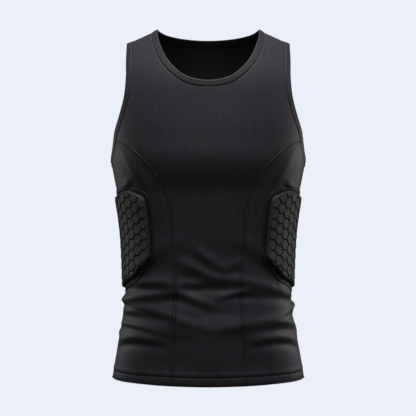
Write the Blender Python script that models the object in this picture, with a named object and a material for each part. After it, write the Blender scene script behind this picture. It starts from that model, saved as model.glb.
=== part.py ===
"""Close-fitting sleeveless sports vest with honeycomb rib pads, hollow as when worn.

Sizes and places below are in millimetres; a mesh is made in metres. X runs across, with the
wearer's left at +X, Y runs from front to back and Z up. The origin is on the wearer's shoulder
line, midway between the straps. The cloth lies on a general torso form. A place on that form is an
angle round it, from the centre front, and a level up it.
"""
import math
from collections import namedtuple

import bpy
import numpy as np

MM = 0.001

# Cloth, hem and bindings
CLOTH = 1.2
HEM_TURN = 16.0
HEM_PLY = 2.4
HEM_LEVEL = -645.3
HEM_DIP = 3.4
SEAM_GAP = 0.3
BINDING_WIDTH = 12.5
BINDING_PLY = 2.8
BINDING_PROUD = 0.8
BINDING_BEVEL = 0.5

# The torso form, a row for each level section; a squareness of two gives an ellipse
Section = namedtuple("Section", "level half_width front_depth back_depth squareness")
SECTIONS = (
    Section(-690, 187.0, 113.5, 111.5, 2.0),
    Section(-641, 181.0, 111.0, 109.0, 2.0),
    Section(-595, 173.2, 108.0, 105.0, 2.1),
    Section(-550, 164.2, 104.0, 99.0, 2.2),
    Section(-520, 159.5, 101.5, 95.0, 2.3),
    Section(-476, 156.9, 100.0, 91.0, 2.3),
    Section(-425, 158.0, 101.0, 91.0, 2.3),
    Section(-368, 161.5, 104.5, 95.0, 2.3),
    Section(-322, 167.8, 109.5, 101.0, 2.3),
    Section(-293, 173.2, 114.0, 106.0, 2.3),
    Section(-265, 178.8, 119.0, 110.0, 2.3),
    Section(-238, 183.6, 122.0, 112.0, 2.3),
    Section(-190, 186.5, 121.0, 113.0, 2.3),
    Section(-120, 190.0, 115.0, 111.0, 2.3),
    Section(-40, 192.0, 106.0, 106.0, 2.3),
    Section(60, 192.0, 99.0, 99.0, 2.3),
    Section(220, 192.0, 96.0, 96.0, 2.3),
)

# The shoulder line falls from the neck point to the shoulder point, a little hollow between them
SHOULDER_START = -200.0
NECK_ACROSS = 96.0
NECK_HEIGHT = 13.2
SHOULDER_ACROSS = 155.0
SHOULDER_HEIGHT = -15.5
SHOULDER_SLOPE = (NECK_HEIGHT - SHOULDER_HEIGHT) / (SHOULDER_ACROSS - NECK_ACROSS)
SHOULDER_SAG = 1.3
NAPE_ROUND = 30.0

# The neck opening's free edge, from the middle up to the neck point
NeckRow = namedtuple("NeckRow", "across height")
FRONT_NECK = (
    NeckRow(0.0, -97.7),
    NeckRow(22.0, -95.3),
    NeckRow(41.0, -88.6),
    NeckRow(60.5, -72.6),
    NeckRow(74.0, -54.8),
    NeckRow(85.5, -30.2),
    NeckRow(93.0, -8.8),
    NeckRow(NECK_ACROSS, NECK_HEIGHT),
)
BACK_NECK = (
    NeckRow(0.0, 1.2),
    NeckRow(36.0, 2.2),
    NeckRow(66.0, 5.0),
    NeckRow(86.0, 9.0),
    NeckRow(NECK_ACROSS, NECK_HEIGHT),
)

# The armhole's free edge, from the shoulder line down the front to the armpit
ArmholeRow = namedtuple("ArmholeRow", "angle height")
ARMHOLE_FRONT = (
    ArmholeRow(49.2, -52.0),
    ArmholeRow(48.6, -85.0),
    ArmholeRow(51.3, -125.0),
    ArmholeRow(58.2, -162.0),
    ArmholeRow(65.0, -187.0),
    ArmholeRow(68.0, -204.0),
    ArmholeRow(71.5, -219.0),
    ArmholeRow(79.0, -231.0),
)
ARMPIT_HEIGHT = -236.0
BACK_ARMHOLE_EASE = 1.5
FRONT_SEAM_SHARE = 0.385
BACK_SEAM_SHARE = 0.63

# The seams between the centre panels and the side panels, from below the armhole down
SeamRow = namedtuple("SeamRow", "across height")
FRONT_SEAM = (
    SeamRow(144.0, -215.0),
    SeamRow(121.0, -235.0),
    SeamRow(99.0, -261.0),
    SeamRow(84.0, -292.0),
    SeamRow(72.0, -328.0),
    SeamRow(66.0, -393.0),
    SeamRow(61.0, -470.0),
    SeamRow(63.0, -545.0),
    SeamRow(70.0, -655.0),
)
BACK_SEAM = (
    SeamRow(152.0, -225.0),
    SeamRow(128.0, -275.0),
    SeamRow(112.0, -350.0),
    SeamRow(104.0, -460.0),
    SeamRow(108.0, -560.0),
    SeamRow(116.0, -655.0),
)

# Main folds, a row for each, from one angle and level to another. The bow lifts the middle of
# the path, ridges stand out by their depth and troughs, with a negative depth, go in.
GIRTH_RADIUS = 130.0
Fold = namedtuple("Fold", "angle_from level_from angle_to level_to bow depth width")
CENTRE_FOLDS = (
    Fold(-13, -388, 15, -444, -3, 4.0, 7.6),
    Fold(4, -440, 28, -410, -4, 2.0, 7.0),
    Fold(-15, -406, 8, -448, 0, -0.8, 6.9),
    Fold(-30, -412, 9, -459, 3, 3.6, 8.0),
    Fold(-10, -450, 42, -469, 4, 2.6, 9.0),
    Fold(-42, -466, 3, -462, 0, 1.6, 7.0),
    Fold(-24, -477, 27, -475, 4, -2.6, 8.0),
    Fold(-32, -465, 12, -513, 0, 3.2, 8.0),
    Fold(-2, -498, 36, -469, 2, 2.6, 8.0),
    Fold(-40, -487, 3, -516, 5, -1.0, 7.0),
    Fold(-12, -518, 28, -515, 0, -1.4, 10.0),
    Fold(-25, -508, -1, -518, 0, 0.5, 7.0),
    Fold(-32, -510, 8, -547, -6, 1.7, 9.0),
    Fold(-7, -548, 38, -522, -6, 1.7, 9.0),
    Fold(-41, -566, 0, -570, 0, -3.0, 20.0),
    Fold(-44, -608, -1, -603, 0, -3.5, 26.0),
    Fold(3, -570, 35, -561, 0, -2.6, 20.0),
    Fold(5, -604, 45, -604, 0, -3.0, 26.0),
)
RIGHT_FOLDS = (
    Fold(-51, -437, -13, -377, 6, 2.2, 13.0),
    Fold(-47, -451, -10, -413, 2, -1.6, 12.0),
    Fold(-60, -466, -16, -462, 4, 2.6, 8.0),
    Fold(-104, -484, -18, -475, 4, -2.6, 7.0),
    Fold(-109, -501, -12, -471, -6, 4.0, 8.0),
    Fold(-43, -502, -9, -487, 1, -1.6, 7.5),
    Fold(-109, -522, -35, -510, 0, 2.4, 8.0),
    Fold(-51, -501, -10, -534, 0, 2.0, 8.0),
    Fold(-94, -534, -14, -532, 6, -3.8, 9.5),
    Fold(-106, -553, -20, -558, 14, 3.0, 8.0),
    Fold(-93, -589, -20, -574, 17, 3.0, 9.0),
    Fold(-86, -599, -19, -586, 17, -3.2, 7.5),
    Fold(-57, -206, -39, -294, 0, 2.5, 9.0),
    Fold(-42, -215, -32, -287, 0, -2.4, 9.0),
)
LEFT_FOLDS = (
    Fold(12, -374, 50, -441, 5, 2.2, 13.0),
    Fold(12, -392, 50, -463, 3, -1.8, 12.0),
    Fold(12, -453, 106, -517, 5, 2.8, 9.0),
    Fold(9, -489, 104, -515, 8, -2.6, 8.0),
    Fold(12, -545, 106, -505, 0, 3.2, 9.0),
    Fold(18, -551, 104, -570, 8, -2.4, 7.0),
    Fold(19, -574, 87, -588, 18, 3.0, 9.0),
    Fold(18, -586, 83, -599, 18, -3.2, 7.5),
    Fold(39, -294, 57, -206, 0, 2.5, 9.0),
    Fold(33, -287, 42, -215, 0, -2.4, 9.0),
)
DRAPES = (
    Fold(-75, -70, 75, -70, 0, 9.0, 62.0),
    Fold(-75, -231, 75, -231, -4, 1.8, 27.0),
    Fold(-75, -289, 75, -289, -4, -2.3, 23.0),
    Fold(-50, -380, 50, -380, 0, 1.6, 34.0),
    Fold(-60, -540, 60, -540, 0, 3.0, 32.0),
    Fold(-60, -645, 60, -645, 0, -5.0, 48.0),
)
SIDE_FOLDS = (
    Fold(-140, -500, -62, -500, 0, 5.8, 8.0),
    Fold(-140, -533, -66, -532, 0, 2.2, 9.0),
    Fold(-140, -561, -62, -559, 0, 4.0, 9.0),
    Fold(62, -499, 140, -496, 0, -3.0, 7.0),
    Fold(62, -511, 140, -508, 0, 7.2, 8.0),
    Fold(62, -526, 140, -524, 0, -1.6, 7.0),
    Fold(62, -561, 140, -560, 0, 3.4, 9.0),
)
BACK_FOLDS = (
    Fold(140, -470, 225, -474, 6, 2.8, 9.0),
    Fold(138, -485, 218, -488, 4, -3.0, 9.0),
    Fold(128, -505, 190, -498, -5, 2.6, 9.0),
    Fold(190, -512, 235, -502, 5, 2.4, 9.0),
    Fold(150, -528, 226, -534, -6, -2.4, 9.0),
    Fold(135, -548, 210, -556, 5, 2.2, 10.0),
    Fold(150, -575, 215, -578, 6, -1.6, 11.0),
)
FOLDS = CENTRE_FOLDS + RIGHT_FOLDS + LEFT_FOLDS + SIDE_FOLDS + BACK_FOLDS + DRAPES

# Rib pads: an outline round the side line, honeycomb cells and a sewn flange
PadCorner = namedtuple("PadCorner", "forward height rounding")
PAD_CORNERS = (
    PadCorner(-58.0, -316.0, 18.0),
    PadCorner(77.0, -291.0, 28.0),
    PadCorner(111.0, -305.5, 12.0),
    PadCorner(105.0, -417.0, 10.0),
    PadCorner(66.0, -454.5, 20.0),
    PadCorner(6.0, -479.0, 18.0),
    PadCorner(-58.0, -450.0, 16.0),
)
CORNER_STEPS = 3
CELL_PITCH = np.array([14.2, 19.4])
CELL_PLACE = np.array([98.2, -354.5])
CELL_SLANT = 0.085
CELL_CORNERS = np.array([(2, 0), (1, 1.5), (-1, 1.5), (-2, 0), (-1, -1.5), (1, -1.5)]) / 3
CELL_TOP_SHARE = 0.83
CELL_CLOSE = 0.6
PAD_BASE = 1.0
PAD_GROOVE = 5.0
PAD_TOP = 7.3
FLANGE_CLEAR = 0.5
FLANGE_WIDTH = 7.2
FLANGE_TOP_WIDTH = 8.0
FLANGE_PLY = 1.5
FLANGE_STEP = 13.0

# Rows of the panels up their seams, a row for each zone, and their columns
RowZone = namedtuple("RowZone", "top step")
ROW_ZONES = (
    RowZone(HEM_TURN, 8.0),
    RowZone(HEM_TURN + 1.0, 1.0),
    RowZone(45.0, 14.0),
    RowZone(200.0, 8.2),
    RowZone(265.0, 13.0),
    RowZone(500.0, 28.0),
)
HEM_ROWS = 3
CHEST_ROWS = 4
CHEST_DROP = 14.0
FRONT_STRAP_ROWS = 10
BACK_STRAP_ROWS = 7
CENTRE_COLUMNS = 6
SIDE_COLUMNS = 12
FRONT_CORNER = CHEST_ROWS + FRONT_STRAP_ROWS
BACK_CORNER = FRONT_CORNER + SIDE_COLUMNS

# Steps of the measuring on the form
TURN_STEP = 0.002
CLIMB_STEP = 0.4
SIDE_STEPS = 4
ROUND_STEPS = 16
SEAM_STEPS = 600
SHARP_ANGLE = math.radians(50)


def unit(vectors):
    """Vectors scaled to length one."""
    return vectors / np.linalg.norm(vectors, axis=-1, keepdims=True)


def through(knots, values, at):
    """Values on a smooth curve through a table's rows."""
    knots = np.asarray(knots, float)
    values = np.asarray(values, float)
    rates = np.gradient(values, knots)
    row = np.clip(np.searchsorted(knots, at) - 1, 0, len(knots) - 2)
    span = knots[row + 1] - knots[row]
    share = (at - knots[row]) / span
    rest = 1 - share
    held = values[row] * (1 + 2 * share) * rest ** 2 + values[row + 1] * share ** 2 * (3 - 2 * share)
    bent = rates[row] * span * share * rest ** 2 - rates[row + 1] * span * share ** 2 * rest
    return held + bent


def run_along(points):
    """Distances along a line of points from its start."""
    return np.concatenate([[0], np.cumsum(np.linalg.norm(np.diff(points, axis=0), axis=-1))])


def section(column, level):
    """One size of the form at any level."""
    levels = [row.level for row in SECTIONS]
    sizes = [getattr(row, column) for row in SECTIONS]
    return through(levels, sizes, level)


def shoulder_height(across):
    """Height of the shoulder line at a distance from the middle, eased over the middle."""
    reach = np.hypot(across, NAPE_ROUND) - math.hypot(NECK_ACROSS, NAPE_ROUND)
    share = np.clip((abs(across) - NECK_ACROSS) / (SHOULDER_ACROSS - NECK_ACROSS), 0, 1)
    return NECK_HEIGHT - SHOULDER_SLOPE * reach - SHOULDER_SAG * 4 * share * (1 - share)


def base(angle, level):
    """Points of the plain form; above the shoulder start it domes over to the shoulder line."""
    angle = np.asarray(angle, float)
    level = np.asarray(level, float)
    power = section("squareness", level)
    reach = (abs(np.sin(angle)) ** power + abs(np.cos(angle)) ** power) ** (-1 / power)
    across = section("half_width", level) * np.sin(angle) * reach
    in_front = np.cos(angle) > 0
    depth = np.where(in_front, section("front_depth", level), section("back_depth", level))
    rise = shoulder_height(across) - SHOULDER_START
    lean = np.clip((level - SHOULDER_START) / rise, 0, math.pi / 2)
    height = np.where(level > SHOULDER_START, SHOULDER_START + rise * np.sin(lean), level)
    return np.stack([across, -depth * np.cos(angle) * reach * np.cos(lean), height], axis=-1)


def creases(angle, level):
    """How far the folds push the cloth out or in."""
    pushed = np.zeros(np.broadcast(angle, level).shape)
    for fold in FOLDS:
        middle = math.radians((fold.angle_from + fold.angle_to) / 2)
        run = math.radians(fold.angle_to - fold.angle_from) * GIRTH_RADIUS
        climb = fold.level_to - fold.level_from
        length = math.hypot(run, climb)
        turned = (angle - middle + math.pi) % (2 * math.pi) - math.pi
        round_by = turned * GIRTH_RADIUS
        up_by = level - (fold.level_from + fold.level_to) / 2
        along = np.clip((round_by * run + up_by * climb) / length ** 2 * 2, -1, 1)
        off = (up_by * run - round_by * climb) / length - fold.bow * (1 - along ** 2)
        fade = (1 - along ** 2) ** 1.6
        pushed = pushed + fold.depth * np.exp(-(off / fold.width) ** 2) * fade
    return pushed


def slopes(surface, angle, level):
    """How a surface runs round, for each radian, and up, for each millimetre of level."""
    around = surface(angle + TURN_STEP, level) - surface(angle - TURN_STEP, level)
    up = surface(angle, level + CLIMB_STEP) - surface(angle, level - CLIMB_STEP)
    return around / (2 * TURN_STEP), up / (2 * CLIMB_STEP)


def outward(surface, angle, level):
    """Unit vectors that point out of a surface."""
    around, up = slopes(surface, angle, level)
    return unit(np.cross(around, up))


def folded(angle, level):
    """Points of the cloth's outer face, folds included."""
    pushed = creases(angle, level)
    return base(angle, level) + outward(base, angle, level) * pushed[..., None]


def lifted(places, lift):
    """Points above the cloth's outer face by a lift, for an array of angle and level."""
    angle = places[..., 0]
    level = places[..., 1]
    lift = np.broadcast_to(np.asarray(lift, float), angle.shape)
    return folded(angle, level) + outward(folded, angle, level) * lift[..., None]


def angle_of(across, level):
    """The angle in front of the side line at a distance from the middle."""
    share = np.clip(across / section("half_width", level), 0, 1)
    power = section("squareness", level)
    return np.arctan2(share, (1 - share ** power) ** (1 / power))


def level_of(across, height):
    """The form's level at a height."""
    rise = shoulder_height(across) - SHOULDER_START
    lean = np.arcsin(np.clip((height - SHOULDER_START) / rise, 0, 1))
    return np.where(height > SHOULDER_START, SHOULDER_START + rise * lean, height)


def locate(across, height, behind):
    """Places on the form from distances across and heights, as an array of angle and level."""
    level = level_of(across, height)
    angle = angle_of(across, level)
    if behind:
        angle = math.pi - angle
    return np.stack([angle, level], axis=-1)


def ridge_level(angle):
    """The level at which the form reaches its shoulder line."""
    across = base(angle, np.zeros_like(angle))[..., 0]
    for _ in range(3):
        level = SHOULDER_START + (shoulder_height(across) - SHOULDER_START) * math.pi / 2
        across = base(angle, level)[..., 0]
    return level


def beside(curve, distance):
    """A curve of places moved sideways over the form, to its right as seen from outside."""
    moved = curve.copy()
    for _ in range(SIDE_STEPS):
        angle = moved[:, 0]
        level = moved[:, 1]
        along = np.gradient(base(angle, level), axis=0)
        side = unit(np.cross(along, outward(base, angle, level))) * distance / SIDE_STEPS
        around, up = slopes(base, angle, level)
        around_square = (around * around).sum(-1)
        up_square = (up * up).sum(-1)
        shared = (around * up).sum(-1)
        by_around = (around * side).sum(-1)
        by_up = (up * side).sum(-1)
        scale = around_square * up_square - shared ** 2
        turn = (by_around * up_square - by_up * shared) / scale
        climb = (by_up * around_square - by_around * shared) / scale
        angle = angle + turn
        moved = np.stack([angle, np.minimum(level + climb, ridge_level(angle))], axis=-1)
    return moved


def on_shoulder(across, behind):
    """The place on the shoulder line at a distance from the middle."""
    return locate(np.array(across), shoulder_height(np.array(across)), behind)


def neck_curve(distance, behind):
    """Half the neck line, from the middle up to the shoulder line, at a distance from its free edge."""
    rows = BACK_NECK if behind else FRONT_NECK
    steps = BACK_STRAP_ROWS if behind else FRONT_STRAP_ROWS
    across = np.array([-row.across for row in rows[:0:-1]] + [row.across for row in rows])
    height = np.array([row.height for row in rows[:0:-1]] + [row.height for row in rows])
    knots = run_along(np.stack([across, height], axis=-1))
    marks = np.linspace(knots[-1] / 2, knots[-1], steps + 1)
    curve = locate(abs(through(knots, across, marks)), through(knots, height, marks), behind)
    level_run = distance * math.cos(math.atan(SHOULDER_SLOPE))
    if distance:
        curve = beside(curve, -distance if behind else distance)
    curve[0, 0] = math.pi if behind else 0.0
    curve[-1] = on_shoulder(NECK_ACROSS + level_run, behind)
    return curve


def armhole_shares():
    """Stations round the armhole from the front shoulder to the back shoulder, as the panels need them."""
    front = np.linspace(0, FRONT_SEAM_SHARE, CHEST_ROWS + FRONT_STRAP_ROWS + 1)
    under = np.linspace(FRONT_SEAM_SHARE, BACK_SEAM_SHARE, SIDE_COLUMNS + 1)
    back = np.linspace(BACK_SEAM_SHARE, 1, CHEST_ROWS + BACK_STRAP_ROWS + 1)
    return np.concatenate([front, under[1:], back[1:]])


def armhole_curve(distance):
    """The armhole line from the front of the shoulder, under the arm, to the back of the shoulder."""
    rows = list(ARMHOLE_FRONT) + [ArmholeRow(90.0, ARMPIT_HEIGHT)]
    for row in reversed(ARMHOLE_FRONT):
        rows.append(ArmholeRow(180.0 - row.angle - BACK_ARMHOLE_EASE, row.height))
    angles = np.radians([row.angle for row in rows])
    levels = np.array([row.height for row in rows])
    for _ in range(4):
        across = base(angles, levels)[:, 0]
        levels = level_of(across, np.array([row.height for row in rows]))
    places = np.stack([angles, levels], axis=-1)
    front_end = on_shoulder(SHOULDER_ACROSS, False)
    back_end = on_shoulder(SHOULDER_ACROSS, True)
    places = np.concatenate([[front_end], places, [back_end]])
    knots = run_along(base(places[:, 0], places[:, 1]))
    knots = knots / knots[-1]
    shares = armhole_shares()
    curve = np.stack([through(knots, places[:, k], shares) for k in (0, 1)], axis=-1)
    level_run = distance * math.cos(math.atan(SHOULDER_SLOPE))
    if distance:
        curve = beside(curve, distance)
    curve[0] = on_shoulder(SHOULDER_ACROSS - level_run, False)
    curve[-1] = on_shoulder(SHOULDER_ACROSS - level_run, True)
    return curve


def row_shares():
    """Shares of the panel rows up a seam, close in the folds and wide above them."""
    marks = [0.0]
    for zone in ROW_ZONES:
        rise = zone.top - marks[-1]
        steps = round(rise / zone.step)
        marks += [marks[-1] + rise * (step + 1) / steps for step in range(steps)]
    return np.array(marks) / marks[-1]


def hem_level(angle):
    """The hem's level, a little lower at the centre front and back."""
    return HEM_LEVEL - HEM_DIP * np.cos(angle) ** 2


def seam_curve(rows, start, behind):
    """Places of the panel rows on a seam, from the hem up to its start on the armhole."""
    top = base(start[0], start[1])
    across = np.array([top[0]] + [row.across for row in rows])[::-1]
    height = np.array([top[2]] + [row.height for row in rows])[::-1]
    knots = run_along(np.stack([across, height], axis=-1))
    fine = np.linspace(0, knots[-1], SEAM_STEPS)
    places = locate(through(knots, across, fine), through(knots, height, fine), behind)
    places = places[places[:, 1] >= hem_level(places[:, 0])]
    places[-1] = start
    run = run_along(base(places[:, 0], places[:, 1]))
    marks = row_shares() * run[-1]
    curve = np.stack([np.interp(marks, run, places[:, k]) for k in (0, 1)], axis=-1)
    curve[0, 1] = hem_level(curve[0, 0])
    return curve


def wall(name, outer, inner, triangles, material):
    """A closed wall: the same triangles outside and inside, joined round every free edge."""
    count = len(outer)
    used = set()
    for a, b, c in triangles:
        used.update([(a, b), (b, c), (c, a)])
    faces = [tuple(face) for face in triangles]
    faces += [(c + count, b + count, a + count) for a, b, c in triangles]
    for a, b in sorted(used):
        if (b, a) not in used:
            faces += [(b, a, a + count), (b, a + count, b + count)]
    return solid(name, np.concatenate([outer, inner]), faces, material)


def solid(name, points, faces, material):
    """An object from points in millimetres and faces that look outward."""
    mesh = bpy.data.meshes.new(name)
    mesh.from_pydata((np.asarray(points) * MM).tolist(), [], faces)
    mesh.shade_smooth()
    mesh.set_sharp_from_angle(angle=SHARP_ANGLE)
    mesh.materials.append(material)
    made = bpy.data.objects.new(name, mesh)
    bpy.context.scene.collection.objects.link(made)
    return made


def grid_triangles(index, points, turned):
    """Triangles of a grid of point numbers, turned over where the columns run backwards."""
    triangles = []
    for row in range(index.shape[0] - 1):
        for column in range(index.shape[1] - 1):
            a = index[row, column]
            b = index[row, column + 1]
            c = index[row + 1, column + 1]
            d = index[row + 1, column]
            if turned:
                a, b, c, d = a, d, c, b
            if np.linalg.norm(points[a] - points[c]) < np.linalg.norm(points[b] - points[d]):
                triangles += [(a, b, c), (a, c, d)]
            else:
                triangles += [(a, b, d), (b, c, d)]
    return triangles


def wall_depth(rows):
    """The cloth's thickness in each row, doubled in the turned hem."""
    depth = np.full(rows, CLOTH)
    depth[:HEM_ROWS] = HEM_PLY
    return depth


def centre_panel(name, behind, material):
    """The front or back panel: rows from its middle line and neck line out to its seam and armhole."""
    armhole = armhole_curve(BINDING_WIDTH + SEAM_GAP)
    neck = neck_curve(BINDING_WIDTH + SEAM_GAP, behind)
    corner = BACK_CORNER if behind else FRONT_CORNER
    seam_rows = BACK_SEAM if behind else FRONT_SEAM
    seam = seam_curve(seam_rows, armhole[corner], behind)
    seam = beside(seam, SEAM_GAP / 2 if behind else -SEAM_GAP / 2)
    edge_above = armhole[corner + 1:] if behind else armhole[:corner][::-1]
    outer_edge = np.concatenate([seam, edge_above])
    middle_angle = math.pi if behind else 0.0
    hem = hem_level(middle_angle)
    chest = seam[-1, 1]
    rise = (chest - CHEST_DROP - hem) / (chest - seam[0, 1])
    straight = hem + (seam[:, 1] - seam[0, 1]) * rise
    upper = np.linspace(straight[-1], neck[0, 1], CHEST_ROWS + 1)[1:]
    middle = np.concatenate([straight, upper])
    inner_edge = np.stack([np.full(len(middle), middle_angle), middle], axis=-1)
    inner_edge = np.concatenate([inner_edge, neck[1:]])
    rows = len(inner_edge)
    open_from = len(middle)
    share = np.linspace(0, 1, CENTRE_COLUMNS + 1)[None, :, None]
    half = inner_edge[:, None] * (1 - share) + outer_edge[:, None] * share
    half[-1, :, 1] = ridge_level(half[-1, :, 0])
    mirrored = half * np.array([-1.0, 1.0])
    lift = np.repeat(-wall_depth(rows)[:, None], CENTRE_COLUMNS + 1, axis=1)
    places = np.concatenate([half, mirrored]).reshape(-1, 2)
    outer = lifted(places, 0.0)
    inner = lifted(places, np.concatenate([lift, lift]).ravel())
    at_shoulder = np.zeros(half.shape[:2], bool)
    at_shoulder[-1] = True
    at_shoulder = np.concatenate([at_shoulder, at_shoulder]).ravel()
    shift = SEAM_GAP / 2 if behind else -SEAM_GAP / 2
    outer[at_shoulder, 1] = shift
    inner[at_shoulder, 1] = shift
    index = np.arange(rows * (CENTRE_COLUMNS + 1)).reshape(rows, -1)
    other = index + index.size
    other[:open_from, 0] = index[:open_from, 0]
    triangles = grid_triangles(index, outer, behind) + grid_triangles(other, outer, not behind)
    return tidy_wall(name, outer, inner, triangles, material)


def tidy_wall(name, outer, inner, triangles, material):
    """A wall from points of which some may be unused."""
    kept = sorted({point for triangle in triangles for point in triangle})
    renumbered = {old: new for new, old in enumerate(kept)}
    triangles = [tuple(renumbered[point] for point in triangle) for triangle in triangles]
    return wall(name, outer[kept], inner[kept], triangles, material)


def side_panel(name, side, material):
    """A side panel: rows from the front seam round to the back seam, under the armhole."""
    armhole = armhole_curve(BINDING_WIDTH + SEAM_GAP)
    front = beside(seam_curve(FRONT_SEAM, armhole[FRONT_CORNER], False), SEAM_GAP / 2)
    back = beside(seam_curve(BACK_SEAM, armhole[BACK_CORNER], True), -SEAM_GAP / 2)
    share = np.linspace(0, 1, SIDE_COLUMNS + 1)[None, :, None]
    places = front[:, None] * (1 - share) + back[:, None] * share
    places[0, :, 1] = hem_level(places[0, :, 0])
    top = armhole[FRONT_CORNER:BACK_CORNER + 1] - places[-1]
    top[0] = 0
    top[-1] = 0
    pull = np.linspace(0, 1, len(front))[:, None, None] ** 3
    places = places + pull * top[None]
    places[..., 0] = places[..., 0] * side
    lift = np.repeat(-wall_depth(len(front))[:, None], SIDE_COLUMNS + 1, axis=1)
    outer = lifted(places.reshape(-1, 2), 0.0)
    inner = lifted(places.reshape(-1, 2), lift.ravel())
    index = np.arange(len(outer)).reshape(len(front), -1)
    return wall(name, outer, inner, grid_triangles(index, outer, side < 0), material)


def swept(name, sections, ring_turned, material):
    """A closed ring swept through sections: stations by section points."""
    stations, around = sections.shape[:2]
    faces = []
    for station in range(stations):
        following = (station + 1) % stations
        for corner in range(around):
            beyond = (corner + 1) % around
            a = station * around + corner
            b = station * around + beyond
            c = following * around + beyond
            d = following * around + corner
            if ring_turned:
                faces += [(a, b, c), (a, c, d)]
            else:
                faces += [(a, c, b), (a, d, c)]
    return solid(name, sections.reshape(-1, 3), faces, material)


def binding_sections(curves):
    """Six points across a folded band, from curves at its free edge, middle and seam."""
    free, middle, seam = curves
    low = BINDING_PROUD - BINDING_PLY
    return np.stack([
        lifted(free, BINDING_PROUD * 0.4),
        lifted(middle, BINDING_PROUD),
        lifted(seam, BINDING_PROUD * 0.6),
        lifted(seam, low),
        lifted(middle, low),
        lifted(free, low + BINDING_BEVEL),
    ], axis=1)


def neck_binding(material):
    """The folded band round the neck."""
    curves = []
    for distance in (0.0, BINDING_WIDTH / 2, BINDING_WIDTH):
        front = neck_curve(distance, False)
        back = neck_curve(distance, True)
        half = np.concatenate([front, back[-2::-1]])
        other = half[1:-1][::-1] * np.array([-1.0, 1.0])
        curves.append(np.concatenate([half, other]))
    return swept("neck_binding", binding_sections(curves), True, material)


def armhole_binding(name, side, material):
    """The folded band round one armhole."""
    curves = []
    for distance in (0.0, BINDING_WIDTH / 2, BINDING_WIDTH):
        curve = armhole_curve(distance)[:-1]
        curves.append(curve * np.array([side, 1.0]))
    return swept(name, binding_sections(curves), side > 0, material)


def side_angle(forward, height):
    """The angle at a distance round the form from the side line, forward of it if positive."""
    angle = np.full(np.shape(forward), math.pi / 2)
    for _ in range(ROUND_STEPS):
        around, _ = slopes(base, angle, height)
        angle = angle - forward / ROUND_STEPS / np.linalg.norm(around, axis=-1)
    return angle


def pad_places(flat, side):
    """Places on the form from flat pad points, given as distance forward and height."""
    angle = side_angle(flat[..., 0], flat[..., 1])
    return np.stack([side * angle, flat[..., 1]], axis=-1)


def pad_outline():
    """The pad's flat outline with its corners rounded by arcs, running clockwise seen from outside."""
    outline = []
    corners = [np.array([row.forward, row.height]) for row in PAD_CORNERS]
    for number, row in enumerate(PAD_CORNERS):
        corner = corners[number]
        before = unit(corners[number - 1] - corner)
        after = unit(corners[(number + 1) % len(corners)] - corner)
        half_turn = math.acos(np.clip(before @ after, -1, 1)) / 2
        centre = corner + unit(before + after) * row.rounding / math.sin(half_turn)
        start = corner + before * row.rounding / math.tan(half_turn) - centre
        end = corner + after * row.rounding / math.tan(half_turn) - centre
        sweep = math.pi - 2 * half_turn
        for share in np.linspace(0, 1, CORNER_STEPS + 1):
            spin = (math.sin((1 - share) * sweep) * start + math.sin(share * sweep) * end) / math.sin(sweep)
            outline.append(centre + spin)
    return np.array(outline)


def clipped(cell, outline):
    """A convex cell cut to a convex outline."""
    for number in range(len(outline)):
        start = outline[number - 1]
        edge = outline[number] - start
        kept = []
        for corner in range(len(cell)):
            here = cell[corner - 1]
            there = cell[corner]
            here_in = edge[0] * (here[1] - start[1]) - edge[1] * (here[0] - start[0])
            there_in = edge[0] * (there[1] - start[1]) - edge[1] * (there[0] - start[0])
            if here_in * there_in < 0:
                kept.append(here + (there - here) * here_in / (here_in - there_in))
            if there_in <= 0:
                kept.append(there)
        cell = kept
        if len(cell) < 3:
            return []
    return cell


def honeycomb(outline):
    """Point numbers of the cells inside the outline, and the flat points they share."""
    first = np.floor((outline.min(axis=0) - CELL_PLACE) / CELL_PITCH).astype(int)
    last = np.ceil((outline.max(axis=0) - CELL_PLACE) / CELL_PITCH).astype(int)
    points = []
    cells = []
    for column in range(first[0] - 1, last[0] + 2):
        for row in range(first[1], last[1] + 1):
            middle = CELL_PLACE + CELL_PITCH * np.array([column, row + 0.5 * (column % 2)])
            ring = middle + CELL_PITCH * CELL_CORNERS
            ring[:, 0] += CELL_SLANT * (ring[:, 1] - CELL_PLACE[1])
            cell = []
            for corner in clipped(list(ring), outline):
                number = shared_point(points, corner)
                if number not in cell:
                    cell.append(number)
            if len(cell) > 2:
                cells.append(cell)
    return np.array(points), cells


def shared_point(points, place):
    """The number of a flat point, added to the list if it is new."""
    for number, known in enumerate(points):
        if max(abs(known - place)) < CELL_CLOSE:
            return number
    points.append(place)
    return len(points) - 1


def rib_pad(name, side, material):
    """A foam pad of honeycomb cells: grooves between raised tops, over a plain inside."""
    flat, cells = honeycomb(pad_outline())
    count = len(flat)
    places = pad_places(flat, side)
    points = [lifted(places, PAD_GROOVE), lifted(places, PAD_BASE)]
    faces = []
    used = set()
    total = 2 * count
    for cell in cells:
        ring = flat[cell]
        middle = ring.mean(axis=0)
        top = middle + (ring - middle) * CELL_TOP_SHARE
        points.append(lifted(pad_places(top, side), PAD_TOP))
        number = len(cell)
        tops = list(range(total, total + number))
        total += number
        for corner in range(number):
            beyond = (corner + 1) % number
            used.add((cell[corner], cell[beyond]))
            faces.append((cell[corner], cell[beyond], tops[beyond], tops[corner]))
        faces.append(tuple(tops))
        faces.append(tuple(point + count for point in reversed(cell)))
    for a, b in sorted(used):
        if (b, a) not in used:
            faces.append((b, a, a + count, b + count))
    if side > 0:
        faces = [tuple(reversed(face)) for face in faces]
    return solid(name, np.concatenate(points), faces, material)


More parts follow.
